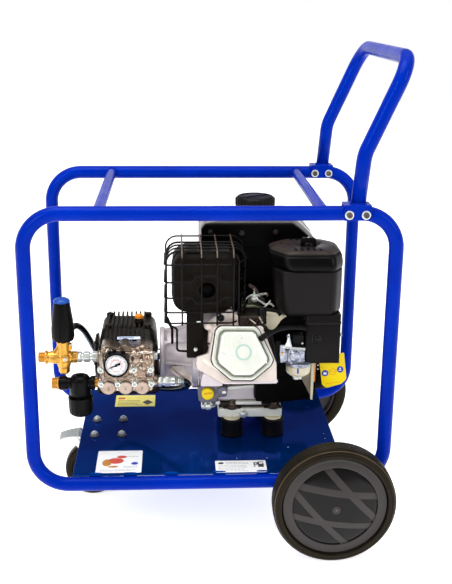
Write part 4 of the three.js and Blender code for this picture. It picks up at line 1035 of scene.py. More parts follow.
def tilted_block(form, x, out, across, bevel=0.0):
    """A block on the tilted cylinder: out is the distance from the crankshaft, across is square to it."""
    form.turn = ON_CYLINDER
    form.block(x, (-out[1], -out[0]), across, bevel)
    form.level()


HEAD = [(25, -60), (138, -60), (138, -20), (112, 50), (100, 57), (18, 57), (8, 48), (-2, 2), (-28, -6),
    (-28, -29)]


def make_cylinder():
    form = Form()
    form.mark = 1
    tilted_block(form, (-1, 121), (60.5, 128), (-54, 54), 2)
    for out in range(66, 124, 8):
        tilted_block(form, (-13.5, 135.5), (out, out + 3), (-59.5, 59.5), 0.9)
    form.mark = 2
    form.turn = ON_CYLINDER
    head = soften(HEAD, [8, 5, 8, 10, 8, 8, 8, 7, 7, 10], 4)
    form.layers("y", head, 0, (3, -126), (0, -129), (0, -196), (1, -200), (3.4, -204.6))
    for x, across in ((-20, -18), (130, -52), (30, -53), (104, 50), (14, 48)):
        form.rod("y", (x, across), 7.4, (-204.8, -150), 24, 1)
    form.sweep([(36, -203, -40), (-14, -201, -12)], 5, 14)
    form.sweep([(128, -203, -26), (106, -202, 40)], 3, 14)
    form.mark = 0
    form.bar(-203.6, (28, -58.4), (136, -58.4), 2.6, 14)
    form.rod("y", (135, -56), 4, (-207, -196), 20, 0.8)
    form.level()
    # exhaust elbow, warm and pale, from the head up to the muffler, with its lumps
    form.mark = 2
    elbow = spline([(6, -104, 288), (20, -106, 302), (38, -102, 314), (50, -98, 326)], 6)
    form.sweep(elbow, lambda t: 15 + 2 * cos(pi * t), 28)
    form.ball((4, -112, 298), 12, (1.2, 0.9, 0.9))
    form.prism("y", soften([(-2, 250), (24, 246), (34, 268), (34, 292), (10, 300), (0, 284)], 7, 4),
        (-118, -84), 5, 3)
    form.prism("y", soften([(36, 266), (62, 276), (62, 320), (44, 328), (36, 300)], 6, 4), (-112, -84), 4, 3)
    form.mark = 3
    form.lathe("y", (24, 320), [(0, -135.5), (3, -135), (6.4, -132.4), (7.7, -128), (6.4, -123.6),
        (3, -121), (0, -121)], 32)
    form.rod("y", (24, 320), 2.6, (-124, -84), 16)
    form.sweep(spline([(-6, -122, 262), (10, -123, 264), (22, -124, 276), (26, -124, 296)], 6), 2, 12)
    # dark finned deck over the rocker cover; the nickel bars along its edges are painted highlights
    form.mark = 1
    form.block((62, 114), (-108, -70), (268, 316), 3)
    for k in range(4):
        form.pivot("y", (74 + k * 9, -110, 296), radians(34))
        form.block((-1.4, 1.4), (-4, 8), (-20, 20), 0.7)
    form.level()
    form.mark = 4
    # painted highlight: bright nickel bars where light catches the deck's edges
    for a, b in (((84, 314), (98, 302)), ((104, 318), (112, 304)), ((92, 300), (104, 288))):
        form.bar(-115, a, b, 1.5, 10)
    piece("cylinder_casting", form, "cast fins pink_cast plastic nickel", "cylinder_head")


ROCKER = [(45, -54), (87, -55), (122, -26), (128, -14), (100, 46), (93, 53.5), (23, 54.5), (15, 46),
    (6, -12), (10, -24)]


def make_rocker_cover():
    centre = (66, 0)
    form = Form()
    form.turn = ON_CYLINDER
    outline = [(centre[0] + (u - centre[0]) * 1.045, v * 1.015 + 2) for u, v in soften(ROCKER,
        [12, 12, 10, 12, 12, 11, 11, 12, 12, 12], 6)]
    form.mark = 2  # black rim round the cover's edge
    form.layers("y", grown(outline, 1.03, centre), 0, (0, -200), (0, -206.4), (1.2, -207.6))
    form.mark = 0
    form.swells("y", outline, centre, (0.995, -205), (0.995, -208.6), (0.985, -210.4), (0.965, -211.4),
        (0.885, -211.6), (0.865, -210.6), (0.855, -209.4))
    form.mark = 1  # the groove round the raised middle, in a darker colour that is painted shade
    form.swells("y", outline, centre, (0.86, -207), (0.86, -214), (0.842, -219), (0.80, -220))
    form.mark = 0
    form.swells("y", outline, centre, (0.80, -219), (0.80, -221.6), (0.79, -224.6), (0.77, -227),
        (0.74, -228.2), (0.70, -228.4))
    form.ball((68, -229.0, 4), 13, (1, 0.09, 1))
    for a, b in (((44, 40), (46, -40)), ((92, 40), (88, -40))):  # faint upright creases
        form.bar(-227.6, a, b, 1.3, 8)
    form.mark = 3
    form.pipe("y", (68, 4), 16.2, 12.8, (-230, -226), 56, 0.6)
    form.mark = 4  # the slanted ribs on both sides of the pad, in a lighter white that is a painted highlight on the raised ribs
    for k in range(3):
        form.bar(-228.5, (97 + k * 6, 12 - k * 9), (103 + k * 6, -1 - k * 9), 1.1, 8)
        form.bar(-228.0, (30 + k * 4, 12 - k * 7), (37 + k * 4, 5 - k * 7), 1.0, 8)
    form.mark = 0
    for x, across in ((25, 49), (118, -22), (88, -49), (13, -14)):
        form.ball((x, -211, across), 2.2, (1, 0.5, 1))
    piece("stamped_rocker_cover", form, "white_steel groove rubber mint white",
        "rocker_cover", sharp=22)

    form = Form()  # the breather tube to the air cleaner, and the black cable that crosses it
    form.sweep(spline([(103, -170, 289), (113, -162, 293), (124, -154, 295), (134, -146, 297),
        (146, -136, 298), (168, -122, 296), (198, -108, 290), (206, -104, 288)], 8), 4.8, 20)
    form.sweep(spline([(103, -170, 289), (113, -162, 293), (121, -156, 294.6)], 8), 6.2, 20)
    form.rod("x", (-104, 288), 6.2, (198, 207), 24, 0.8)
    form.sweep(spline([(98, -100, 306), (114, -118, 297), (127, -124, 284), (134, -126, 257),
        (138, -122, 226), (140, -100, 208)], 7), 3.4, 14)
    piece("breather_tube", form, "rubber")

    form = Form()
    form.turn = ON_CYLINDER
    form.turned("z", (112, -165), [(7.6, 60.4), (8.6, 62), (9.6, 66), (8.8, 69), (9.6, 72), (8.8, 75),
        (9.6, 78), (9.6, 90), (7.8, 95), (5, 97)], 32)
    form.sweep(spline([(112, -165, 88), (126, -164, 92), (144, -162, 88), (151, -160, 80)], 6), 3.6, 14)
    piece("spark_plug_boot", form, "rubber", "spark_plug_cap")


def make_muffler():
    outlet = (-3, 375)
    front = -110
    shell = rounded((-75, 60), (323, 447), 30, 8)
    form = Form()
    form.layers("y", shell, front, (9, 115), (2.5, 112.5), (0, 107), (0, 62), (0, 22), (0.8, 14), (3, 7),
        (7, 2.6), (12, 0.8), (18, 0.2))
    # the rolled seam round the shell and the pressed ribs on the front
    form.layers("y", shell, front, (0.2, 50), (-1.8, 51), (-1.8, 54), (0.2, 55))
    for a, b in (((-58, 420), (-32, 397)), ((46, 420), (24, 397)), ((-58, 334), (-30, 354)),
            ((46, 334), (26, 354))):
        form.bar(front + 0.4, a, b, 3, 12, 0.8)
    form.lathe("y", outlet, [(28, 3), (26, -0.2), (22, -2.4), (18.4, -3), (16.4, -2.2), (16.2, 24),
        (28, 24)], 56, start=front)
    form.prism("y", soften([(-46, 222), (-12, 222), (-12, 262), (-10, 330), (-46, 330)], 4), (-99, -94), 0.8)
    form.mark = 1
    # painted shade: a black disc deep in the outlet stands for its dark inside
    form.rod("y", outlet, 16.3, (front - 0.5, front + 26), 40)
    form.block((-47, -20), (-90, -86), (436, 449), 0.8)
    form.mark = 2  # the dusty slotted bracket and the small strap on the top
    form.prism("z", rounded((-50, -18), (-88, -10), 3), (445, 450.4), 1)
    form.prism("z", rounded((6, 44), (-70, -30), 3), (445, 449), 0.8)
    form.mark = 1
    for y in (-74, -46):
        form.prism("z", rounded((-44, -24), (y - 5, y + 5), 3), (449, 450.7), 0.4)
    form.prism("z", rounded((18, 54), (-106, -70), 5), (300.6, 330), 1)
    form.mark = 3
    form.hex_bolt("y", (-27, 243), -99, 4.4, 6, -1, washer=False)
    form.block((-25, -13), (-101, -99), (300, 304.5), 0.6)
    form.rod("y", (45, 336), 2.2, (front - 1, front + 8), 16, 0.5)
    piece("muffler_shell", form, "muffler black_paint fins zinc", "muffler")


def make_guard():
    """The wire cage round the muffler."""
    left, right, front, back, bottom, top, wire = -91, 79, -127, 22, 304, 460, 1.8
    inside = front + 3.4
    side_end = front + 100
    form = Form()
    for z, jog in ((308, 0), (331, 0), (362, -12), (395, 13), (432, 0)):
        dip = [(-36, inside, z), (-25, inside, z + jog), (18, inside, z + jog),
            (29, inside, z)] if jog else []
        corners = [(left, side_end, z), (left, inside + 8, z), (left + 8, inside, z), *dip,
            (right - 30, inside, z), (right, inside + 44, z), (right, side_end, z)]
        bends = [0, 6, 6, *([3] * len(dip)), 16, 16, 0]
        form.sweep(fillet(corners, bends, 5), wire, 12)
    for y in (-109, -80, -55, -33, side_end - 3, back - 4):
        step = 3.4 if y < side_end else 1.6
        low, side = (bottom, left + step), right - step - (14 if y < -100 else 0)
        route = fillet([(low[1], y, low[0]), (low[1], y, top - step), (side, y, top - step),
            (side, y, low[0])], 24, 6)
        form.sweep(route, wire if y > -100 else 2.2, 12)
    for x in (left + 3, right - 3):  # level side wires that run to the back frame
        for z in (322, 350, 381, 412):
            form.sweep([(x, front + 30, z), (x, back - 4, z)], wire, 12)
    for x in (-55, -15.5, 16.5, 50):
        form.mark = 0
        bend = fillet([(x, front, bottom), (x, front, top - 18), (x, front + 20, top), (x, back, top)],
            [0, 14, 14, 0], 5)
        form.sweep(bend[:7], wire, 12)
        form.mark = 1  # painted highlight in bronze where the wires turn over the top
        form.sweep(bend[6:], wire, 12)
    form.mark = 0
    # stays that hold the cage to the engine
    form.sweep(fillet([(-87, -96, 306), (-80, -92, 292), (-66, -88, 284), (-66, -86, 234), (-40, -86, 232)],
        [0, 8, 8, 6, 0], 5), 2.6, 12, flat=0.7)
    form.sweep(fillet([(-87, -76, 306), (-76, -80, 280), (-76, -80, 248)], [0, 8, 0], 5), 3.4, 12, flat=0.5)
    form.sweep(fillet([(75, -76, 306), (66, -76, 290), (60, -78, 270)], [0, 8, 0], 5), 2.6, 12)
    piece("wire_cage", form, "wire bronze", "muffler_guard")


def make_tank():
    y, z, neck, neck_top = (42.4, 205), 392, (112, 124), 502
    outline = soften([(-14, z + 8), (-14, 470), (-4, 484), (20, 488), (194, 488), (215, 470), (239, 445),
        (239, z + 8), (231, z), (-6, z)], [5, 12, 10, 20, 24, 24, 20, 5, 5, 5], 5)
    middle = (106, 440)
    form = Form()
    form.swells("y", outline, middle, (0.93, y[0]), (0.97, y[0] + 3), (1, y[0] + 12), (1, y[1] - 14),
        (0.975, y[1] - 4), (0.93, y[1]))
    seam = [grown(outline, k, middle) for k in (0.99, 1.012)]
    form.frame_ring("y", seam[1], seam[0], (118, 123.4), 0.6)
    form.lathe("z", neck, [(26.5, 470), (33, 478), (33.4, 490), (31, 494), (31, neck_top - 1),
        (30.4, neck_top), (26.5, neck_top)], 56)
    for x in (6, 206):
        form.prism("z", rounded((x - 14, x + 14), (80, 160), 4), (386, 394), 1)
        form.hex_bolt("z", (x, 100), 386, 6, 5, -1)
    piece("tank_shell", form, "tank", "fuel_tank")

    rest = neck_top + REST
    form = Form().lathe("z", neck, [(0, 0), (42, 0), (44, 1.5), (44.6, 3), (43.4, 5), (43.2, 17),
        (42, 20.5), (38.6, 23), (34, 23.6), (33, 22.4), (20, 22.8), (0, 24)], 96, start=rest)
    for _ in form.around("z", (*neck, 0), 28):
        form.block((42.4, 44.9), (-1.6, 1.6), (rest + 4, rest + 18.5), 0.5)
    form.pivot("z", (*neck, 0), 0.6)
    form.block((-33, 33), (-5, 5), (rest + 20, rest + 24.6), 1.4)
    piece("ribbed_fuel_cap", form, "cleaner", "fuel_cap", body="fuel_cap")

    front = 28.6
    outline = soften([(-12, 298), (-12, 470), (-3, 481), (188, 481), (206, 468), (232, 446), (232, 350),
        (190, 298), (186, 281), (140, 281), (132, 298)], 4, 4)
    form = Form()
    form.layers("y", outline, front, (2.4, 0), (0.6, 0.8), (0, 2.4), (0, 12.2), (0.7, 13.2))
    form.prism("x", [(38.2, 250.3), (41.6, 250.3), (41.6, 320), (38.2, 320)], (22, 148), 0.6)
    form.block((-2, 212), (front - 1.4, front + 1), (432, 435.6), 0.6)
    for x in (20, 74, 128):
        form.block((x, x + 30), (front - 1.6, front + 1), (330, 333), 0.6)
    form.mark = 1
    for x, height in ((8, 464), (76, 462), (150, 464), (206, 430)):
        form.hex_bolt("y", (x, height), front, 4.4, 3.4, -1)
    piece("shroud_panel", form, "black_paint fins", "tank_shroud")


def cleaner_plan(left):
    corner, front, back, right = 16, -106, 24, 282
    outline = [(left + 16, front), (right - 20, front), (right, front + 34), (right, back - 24),
        (right - 22, back), (left + 26, back), (left, back - 30), (left, front + 34)]
    return soften(outline, [corner, corner * 1.4, corner * 1.4, corner, corner, corner, corner,
        corner * 1.2], 6)


def make_air_cleaner():
    bottom, top, knob = 312, 411, (212, -42)
    form = Form()

    def wall(by, left=144):
        return inset(cleaner_plan(left), by)

    form.loft("z", [(wall(12), bottom), (wall(7), bottom + 1.4), (wall(3.4), bottom + 4.4),
        (wall(1.2), bottom + 9), (wall(0.2), bottom + 16), (wall(0, 142), bottom + 40),
        (wall(0, 138), top - 4), (wall(1, 138), top)])
    # the lower box over the carburetor
    duct = soften([(203.4, -104), (277, -104), (278.6, -100), (278.6, -68), (203.4, -68)], 5, 4)
    form.layers("z", duct, 0, (3, 208.2), (0.8, 209.4), (0, 213), (0, bottom + 4))
    form.frame_ring("z", inset(duct, -0.9), inset(duct, 1), (bottom - 16, bottom - 12), 0.5)
    form.mark = 1  # the round plug in its recess
    plug = (227, 265)
    form.turned("y", plug, [(7, -104.3), (8, -104.8), (10, -105.2), (11.4, -104.2), (11.4, -103)], 40)
    form.ball((plug[0], -105, plug[1]), 6.4, (1, 0.6, 1))
    form.mark = 2
    form.rod("x", (-50, 254), 3, (276, 291), 16, 0.5)
    form.hex_bolt("x", (-50, 254), 287, 4, 3.4, 1, washer=False)
    piece("cleaner_housing", form, "cleaner wheel_gloss zinc", "air_cleaner_body", sharp=60)

    rest = top + REST

    def plan(left, right, front, back):
        outline = [(left + 30, front), (right - 22, front), (right, front + 36), (right, back - 24),
            (right - 24, back), (left + 28, back), (left, back - 28), (left, front + 46)]
        return soften(outline, [20, 18, 18, 18, 18, 18, 20, 20], 6)

    form = Form()  # flush in front and on the right, with a bulge that leans out on the left
    side = [((138, 282, -106, 24), 0), ((136, 282.6, -106.6, 24.6), 4), ((132, 283, -106.8, 25), 13),
        ((128, 281, -103, 24), 26), ((129, 278, -99, 22), 33)]
    form.loft("z", [(plan(*sides), rest + rise) for sides, rise in side])
    # painted reflection: the lid's top is lighter than its black sides
    form.mark = 1
    shape = [((129, 278, -99, 22), 33), ((132, 275, -97, 20), 36), ((137, 271, -94, 17), 39),
        ((143, 267, -90, 13), 41), ((150, 262, -84, 8), 42.2), ((156, 256, -78, 2), 42.6)]
    rings = [(plan(*sides), rest + rise) for sides, rise in shape]
    middle = rings[-1][0]
    form.loft("z", rings + [(inset(middle, 16), rest + 42.4), (inset(middle, 19), rest + 36.5)])
    form.mark = 0
    for y in (-82, 2):  # two rows of short ribs across the lid
        for k in range(5):
            x = 178 + k * 13
            form.block((x, x + 5), (y - 7, y + 7), (444, 455.4), 1)
    piece("cleaner_lid", form, "plastic lid", "air_cleaner_cover", sharp=70)

    rest = top + 37.1
    form = Form()
    form.lathe("z", knob, [(0, 0), (13.4, 0), (14, 1.4), (12.6, 9), (10.5, 12), (0, 12.6)], 48, start=rest)
    wing = soften([(-17, 1), (17, 1), (15.4, 17), (12, 20.5), (-12, 20.5), (-15.4, 17)], 2.4, 4)
    form.prism("y", [(knob[0] + u, rest + v) for u, v in wing], (knob[1] - 6, knob[1] + 6), 1.3, 3)
    for k in (-1, 1):
        form.block((knob[0] + k * 9 - 2, knob[0] + k * 9 + 2), (knob[1] - 7, knob[1] + 7),
            (rest + 4, rest + 17), 0.8)
    form.mark = 1
    form.ball((*knob, rest + 20.6), 2.4, (1, 1, 0.8))
    piece("wing_knob", form, "plastic zinc", "air_cleaner_knob", body="air_cleaner_knob")


def make_carburetor():
    x, y = 192, -92
    form = Form()
    form.prism("y", rounded((166, 202.6), (212, 244), 7), (y - 21, y + 21.6), 3, 3)
    form.prism("x", rounded((y - 17.6, y + 15.6), (212, 240), 5), (144.6, 170), 1.2)
    form.turned("y", (182, 229), [(9, -25), (11.6, -23.6), (12.6, -18)], 36, start=y)
    form.turned("z", (x, y), [(27, 204), (28, 205.4), (28, 209), (26, 211), (14, 213.4)], 48)
    for cx, cz in ((174, 215), (199, 220), (197, 239), (171, 239)):
        form.ball((cx, y - 21, cz), 4.2, (1, 0.8, 1))
    form.mark = 4
    form.block((164, 200), (y - 22.4, y - 10), (213.6, 216.4), 0.8)
    form.mark = 1
    form.lathe("z", (x, y), [(0, 178), (12, 178.6), (19, 181), (24.6, 186), (26, 190), (26.4, 202),
        (27.2, 204.6), (0, 204.6)], 48)
    form.mark = 2
    form.hex_bolt("z", (x - 5, y - 8), 180, 7, 6, -1)
    form.rod("z", (x + 4, y - 8), 3, (172, 180), 18, 0.6)
    form.sweep([(150, y - 26, 251.4), (172, y - 26, 249.6), (202, y - 25, 247)], 2.2, 12)
    form.sweep([(172, y - 26, 246.6), (202, y - 25, 243.6)], 1.1, 10)
    form.mark = 0
    form.prism("y", soften([(151, 217), (156, 217), (160, 234), (159, 256), (149, 256), (149, 236)], 1.8),
        (y - 26.4, y - 23), 0.6)
    form.mark = 2
    form.prism("y", soften([(158, 253), (171, 253), (168, 266), (168.6, 281), (165.4, 281), (163, 264)],
        1.6), (y - 28, y - 25.4), 0.5)
    form.ball((196, y - 24, 259), 2.4)
    form.mark = 3
    form.rod("y", (155, 238), 2.6, (y - 29, y - 23), 18, 0.5)
    form.mark = 5
    form.block((186.6, 190), (-119.4, -116), (192, 203), 0.6)
    form.mark = 6  # dark bracket and cable ends behind the bright parts
    form.block((176, 200), (y - 14, y + 10), (244, 274), 2)
    form.prism("y", soften([(140, 214), (152, 214), (152, 262), (140, 262)], 3), (y - 20, y - 16), 0.8)
    piece("carburetor_body", form, "carb cream zinc brass grey_cast blue_ink rubber",
        "carburetor")
    form = Form()
    lever = soften([(173, 229), (179, 229), (179, 236), (171.6, 262), (168, 279), (162.4, 279), (165, 262),
        (173, 238)], 1.8)
    form.prism("y", lever, (-119.2, -116.4), 0.5)
    form.rod("y", (176, 232), 5.6, (-119.4, -116.2), 24, 0.5)
    form.rod("y", (165.4, 275), 2.6, (-120, -116.6), 16, 0.4)
    piece("choke_arm", form, "carb", "choke_lever", body="choke_lever")


def make_controls():
    form = Form()
    form.rod("y", (112, 336), 8.6, (-61.3, -58.4), 32, 0.5)
    arm = soften([(106, 331), (118, 331), (118, 338), (101, 366), (88, 374), (84, 369), (95, 360)], 2.4)
    form.prism("y", arm, (-61.2, -58.5), 0.4)
    form.rod("y", (88, 370.5), 3, (-62.4, -58), 16, 0.4)
    piece("throttle_arm", form, "fins", "throttle_lever", body="throttle_lever")

    # governor plate, link rods, small springs and the adjusting screw
    form = Form()
    form.sweep(spline([(70, -60, 326), (84, -62, 324), (100, -62, 325), (116, -60, 319), (128, -58, 308)],
        6), 4.6, 14, flat=0.5)
    form.prism("y", soften([(84, 322), (112, 320), (110, 340), (98, 350), (86, 342)], 4), (-56, -53.6), 0.6)
    form.mark = 1
    form.turned("y", (98, 341), [(6, -66), (8.6, -64), (8.6, -56)], 12)
    form.bar(-67, (103, 341), (123, 328), 2.2, 12)
    form.sweep(spline([(122, -66, 328), (132, -66, 331), (140, -66, 324)], 5), 2.2, 10)
    form.sweep(spline([(118, -66, 322), (126, -68, 330), (132, -66, 338)], 5), 1.8, 10)
    form.sweep(spline([(76, -62, 334), (86, -62, 346), (98, -62, 350), (110, -62, 346)], 5), 1.5, 10)
    form.bar(-62, (98, 346), (97, 360), 2.2, 12)
    coil = [(104 + t * 20, -62 + 2.6 * cos(t * tau * 9), 348 + t * 4 + 2.6 * sin(t * tau * 9))
        for t in (i / 108 for i in range(109))]
    form.sweep(coil, 0.6, 6)
    form.mark = 2
    form.ball((125, -64, 350), 3.6, (0.8, 1, 1.2))
    form.ball((76, -64, 334), 2.8)
    form.rod("y", (97, 362), 3, (-66, -58), 20, 0.8)
    form.mark = 3
    form.prism("z", rounded((84, 148), (-52, -20), 4), (300, 306), 1.2)
    piece("governor_linkage", form, "olive zinc bronze fins")

    form = Form()  # the pale insulator wedge beside the cleaner
    wedge = soften([(115, 316), (150, 311), (168, 308), (154, 297), (146, 284), (138, 276), (129, 277),
        (120, 290)], [3, 2, 1, 6, 8, 5, 5, 8])
    form.prism("y", wedge, (-78, -70), 1.2)
    piece("inlet_insulator", form, "cream")


def make_blower():
    form = Form()
    form.lathe("x", CRANK, [(65, 155.5), (90, 155.5), (94, 157), (95, 160), (95, 233), (93.6, 236.5),
        (90, 237.8), (65, 237.8), (65, 234), (91.6, 233), (91.6, 160), (65, 159)], 96)
    for k in range(6):
        centre = on_circle(CRANK, 88, tau * k / 6 + 0.2)
        form.hex_bolt("x", centre, 237.4, 4.6, 3.6, 1)
    # black plates between the cylinder and the cleaner, and the low shield with its pale guide. The low
    # black shield is a painted shadow where the crankcase's shade falls, and the guide is painted shade, a
    # darker copy of the cream strip beside it
    form.prism("y", soften([(126, 158), (200, 158), (200, 306), (150, 306), (126, 296)], 5), (-66, -62), 0.8)
    # painted shadow: this black sheet stands where the crankcase's shadow lies
    form.prism("y", soften([(104, 108), (104, 146), (150, 158), (198, 172), (228, 112), (150, 104)], 4),
        (-68, -64), 0.8)
    form.block((196, 236), (-62, -58), (120, 214), 1)
    # painted shade: the guide's face is a darker copy of the cream
    form.mark = 1
    form.prism("y", [(197, 170), (224, 196), (226, 112)], (-67.6, -66), 0.4)
    form.mark = 2
    form.prism("y", [(224, 112), (229, 110), (231, 196), (224, 196)], (-70, -62), 0.6)
    form.mark = 3
    form.prism("y", [(231.4, 150), (234, 150), (235, 196), (231.4, 196)], (-63, -61), 0.4)
    form.mark = 4
    for z in (196, 187, 178):
        form.rod("y", (240, z), 1.6, (-60, -57), 14, 0.4)
    piece("blower_drum", form, "black_paint guide cream orange zinc", "fan_housing")

    form = Form()
    form.lathe("x", CRANK, [(78, 238.6), (81.6, 238.6), (82, 241), (82, 268), (80, 275), (74, 282),
        (66, 286.4), (58, 287.6), (30, 287.6), (28, 286.4), (0, 286.4), (0, 283), (56, 283), (72, 276),
        (78, 266)], 96)
    form.turned("x", CRANK, [(17, 283), (17, 288.4), (14, 289.6)], 48)
    guide = soften([(-16, 252), (16, 252), (13, 266), (8, 267.8), (-8, 267.8), (-13, 266)], 2.4)
    form.prism("x", [(60 + u, v) for u, v in guide], (246, 276), 1.2)
    cover = piece("recoil_dome", form, "black_paint", "recoil_cover")
    cutter = Form()
    for ring, count, size in ((40, 8, 5.5), (58, 12, 5.0)):
        for _ in cutter.around("x", (0, *CRANK), count, 0.5):
            cutter.prism("x", rounded((ring - 8, ring + 6), (-size, size), 2.4), (274, 296))
    carve(cover, cutter)

    form = Form()
    grip = soften([(-20, 271), (20, 271), (23, 277), (23, 284), (17, 288.6), (-17, 288.6), (-23, 284),
        (-23, 277)], 3.4, 4)
    form.prism("y", [(262 + u, v) for u, v in grip], (53, 67), 2.4, 3)
    form.rod("z", (262, 60), 5.6, (268.5, 275), 28, 0.6)
    piece("starter_grip", form, "plastic", "recoil_handle", body="recoil_handle")


def make_mounts():
    names = ("near_pump_side", "near_wheel_side", "far_pump_side", "far_wheel_side")
    for name, centre in zip(names, NEAR_STUDS + FAR_STUDS):
        form = Form()
        form.turned("z", centre, [(24.6, PLATE_TOP + 0.3), (25, PLATE_TOP + 1.6), (25, 23), (24, 25),
            (23.4, 30), (23.4, 45), (24, 50), (25, 53), (25, 56.4), (24.2, 57.6)], 56)
        form.mark = 1
        form.rod("z", centre, 19, (57.6, 59.8), 40, 0.8)
        form.mark = 2
        form.rod("z", centre, 11, (84, 86.4), 36, 0.6)
        form.hex_bolt("z", centre, 86.4, 8.2, 7, 1, washer=False)
        form.rod("z", centre, 4.6, (58, 99), 20, 0.7)
        for k in range(5):
            form.pipe("z", centre, 4.95, 4.5, (92 + k * 1.4, 92.7 + k * 1.4), 20)
        piece(f"{name}_isolator", form, "rubber cream bronze", f"{name}_mount")

    form = Form()
    form.turned("y", DIPSTICK, [(11.6, -65.3), (13, -64.2), (13.5, -62), (13.5, -56), (12.6, -54.4)], 56)
    form.rod("y", DIPSTICK, 7.6, (-56, -40), 24)
    form.mark = 1
    form.prism("y", soften([(-8.5, 124), (9.5, 125), (9.5, 129.4), (-8.5, 127.4)], 1.6), (-66.4, -64), 0.5)
    piece("dipstick_cap", form, "yellow amber", "oil_dipstick", body="oil_dipstick")


# ---- pump
def make_pump():
    for make in (make_drive_housing, make_pump_case, make_manifold, make_gauge, make_unloader, make_filter,
            make_hose):
        make()


def make_drive_housing():
    form = Form()
    form.lathe("x", CRANK, [(14, -104), (60, -104), (62, -102), (62, -95), (60, -93), (54, -91), (52, -86),
        (54, -66), (58, -56), (67, -38), (70, -34), (75.5, -33), (77, -31.5), (77, -18), (75.5, -16.4),
        (44, -16.4), (44, -86), (14, -88)], 96)
    for _ in form.around("x", (0, *CRANK), 8):
        form.prism("y", [(-94, 52), (-94, 60), (-34, 74), (-34, 58), (-60, 52)], (-2.2, 2.2), 0.9)
    for k in range(4):
        angle = tau * (k + 0.5) / 4
        form.hex_bolt("x", on_circle(CRANK, 70.5, angle), -33, 5.4, 5, -1)
        form.hex_bolt("x", on_circle(CRANK, 57, angle), -93, 5, 5, 1)
    form.prism("z", rounded((-100, -60), (CRANK_Y - 39, CRANK_Y + 39), 5), (124, 136), 1.6)
    form.mark = 1  # the web under the cylinder
    form.prism("y", soften([(-84, 177), (-30, 177), (-30, 128), (-38, 130)], 3), (-28, -19), 2)
    form.rod("y", (-34, 150), 7, (-34, -20), 28, 1)
    form.bar(-30, (-82, 171), (-36, 131), 4.4, 14)
    piece("coupling_bell", form, "cast pink_cast", "drive_housing", sharp=SHADED_SHARP)


def make_pump_case():
    left, right, front, back, bottom, top = -242, -104.3, -48, 88, 118, 262
    form = Form()
    # the section across the crankshaft: upright front, sloped shoulder, flat top
    section = soften([(front, bottom + 4), (front, 222), (front + 40, top - 2), (back - 8, top - 2),
        (back, 240), (back, bottom + 4), (back - 6, bottom), (front + 6, bottom)],
        [5, 10, 10, 12, 12, 5, 3, 3], 4)
    form.layers("x", section, left, (9, 1), (3, 4), (0, 12), (0, 125.7), (3, 133.7), (9, 137.3))
    taper = 13  # the ends lean in towards the top

    def lean(x, z):
        slope = taper * max(0, z - 200) / 62
        return x + (slope if x < left + 20 else -slope if x > right - 20 else 0)

    form.verts = [Vector((lean(v.x, v.z), v.y, v.z)) for v in form.verts]
    form.turned("x", (CRANK_Y - 8, CRANK_Z), [(44, -4.6), (46, -3.4), (50, -2), (52, 2)], 64, start=left)
    for k in range(6):
        centre = on_circle((CRANK_Y - 8, CRANK_Z), 45, tau * k / 6)
        form.hex_bolt("x", centre, left - 3.4, 4.4, 2, -1, washer=False)
    # fins over the top and down the slope, each with a raised nose at the back
    for i in range(9):
        x = left + 24 + i * 9.8
        fin = soften([(front + 6, 226), (front + 38, top + 5), (back - 16, top + 5), (back - 10, top + 8),
            (back - 4, top + 2), (back - 2, 236), (back - 20, 226)], [1, 6, 3, 3, 3, 3, 1])
        form.prism("x", fin, (x, x + 3.6), 1.0)
    for i in range(12):  # short upright ribs under the silver strip
        x = left + 27 + i * 7.2
        form.prism("x", [(front - 1.2, 212), (front - 1.2, 222), (front + 6, 229), (front + 6, 212)],
            (x, x + 3), 0.7)
    # bosses for the case bolts at the top corners and the two round ones in front
    for x in (left + 26, right - 26):
        form.rod("z", (x, back - 14), 8, (230, top + 5), 24, 1.4)
        form.rod("z", (x, front + 44), 8, (230, top + 4), 24, 1.4)
    for x in (left + 18, right - 14):
        form.pivot("x", (x, front + 4, 224), radians(42))
        form.turned("z", (0, 0), [(11, -12), (11, 6), (9.4, 8), (5, 8.6)], 32)
    form.level()
    form.rod("z", PUMP_FILLER, 10.6, (240, top + 9), 32, 1)
    form.rod("z", PUMP_FILLER, 8.8, (top + 8, top + 12), 32, 0.8)
    form.prism("z", rounded((left + 14, right - 14), (front + 10, back - 10), 5),
        (bottom - 0.1, bottom + 4), 0.8)
    form.mark = 1  # the blank silver strip
    form.pivot("x", (-170, front + 17.4, 240), radians(43.5))
    form.prism("z", rounded((-25, 25), (-1.6, 5.2), 1.4), (1.2, 4.4), 0.3)
    form.mark = 2
    form.block((-22, 12), (1.6, 3), (4.3, 4.6))
    piece("pump_case", form, "pump_black silver blue_ink", "pump_crankcase")

    rest = top + 12.3
    form = Form().lathe("z", PUMP_FILLER, [(0, 0), (8.6, 0), (9, 1), (9, 5), (8, 7.6), (6, 8.6), (0, 9)],
        40, start=rest)
    for _ in form.around("z", (*PUMP_FILLER, 0), 12):
        form.block((8.4, 9.5), (-1, 1), (rest + 1, rest + 5.4), 0.3)
    form.rod("z", PUMP_FILLER, 5.6, (rest - 10, rest + 1), 24)
    piece("pump_filler_cap", form, "orange", "pump_oil_cap", body="pump_oil_cap")


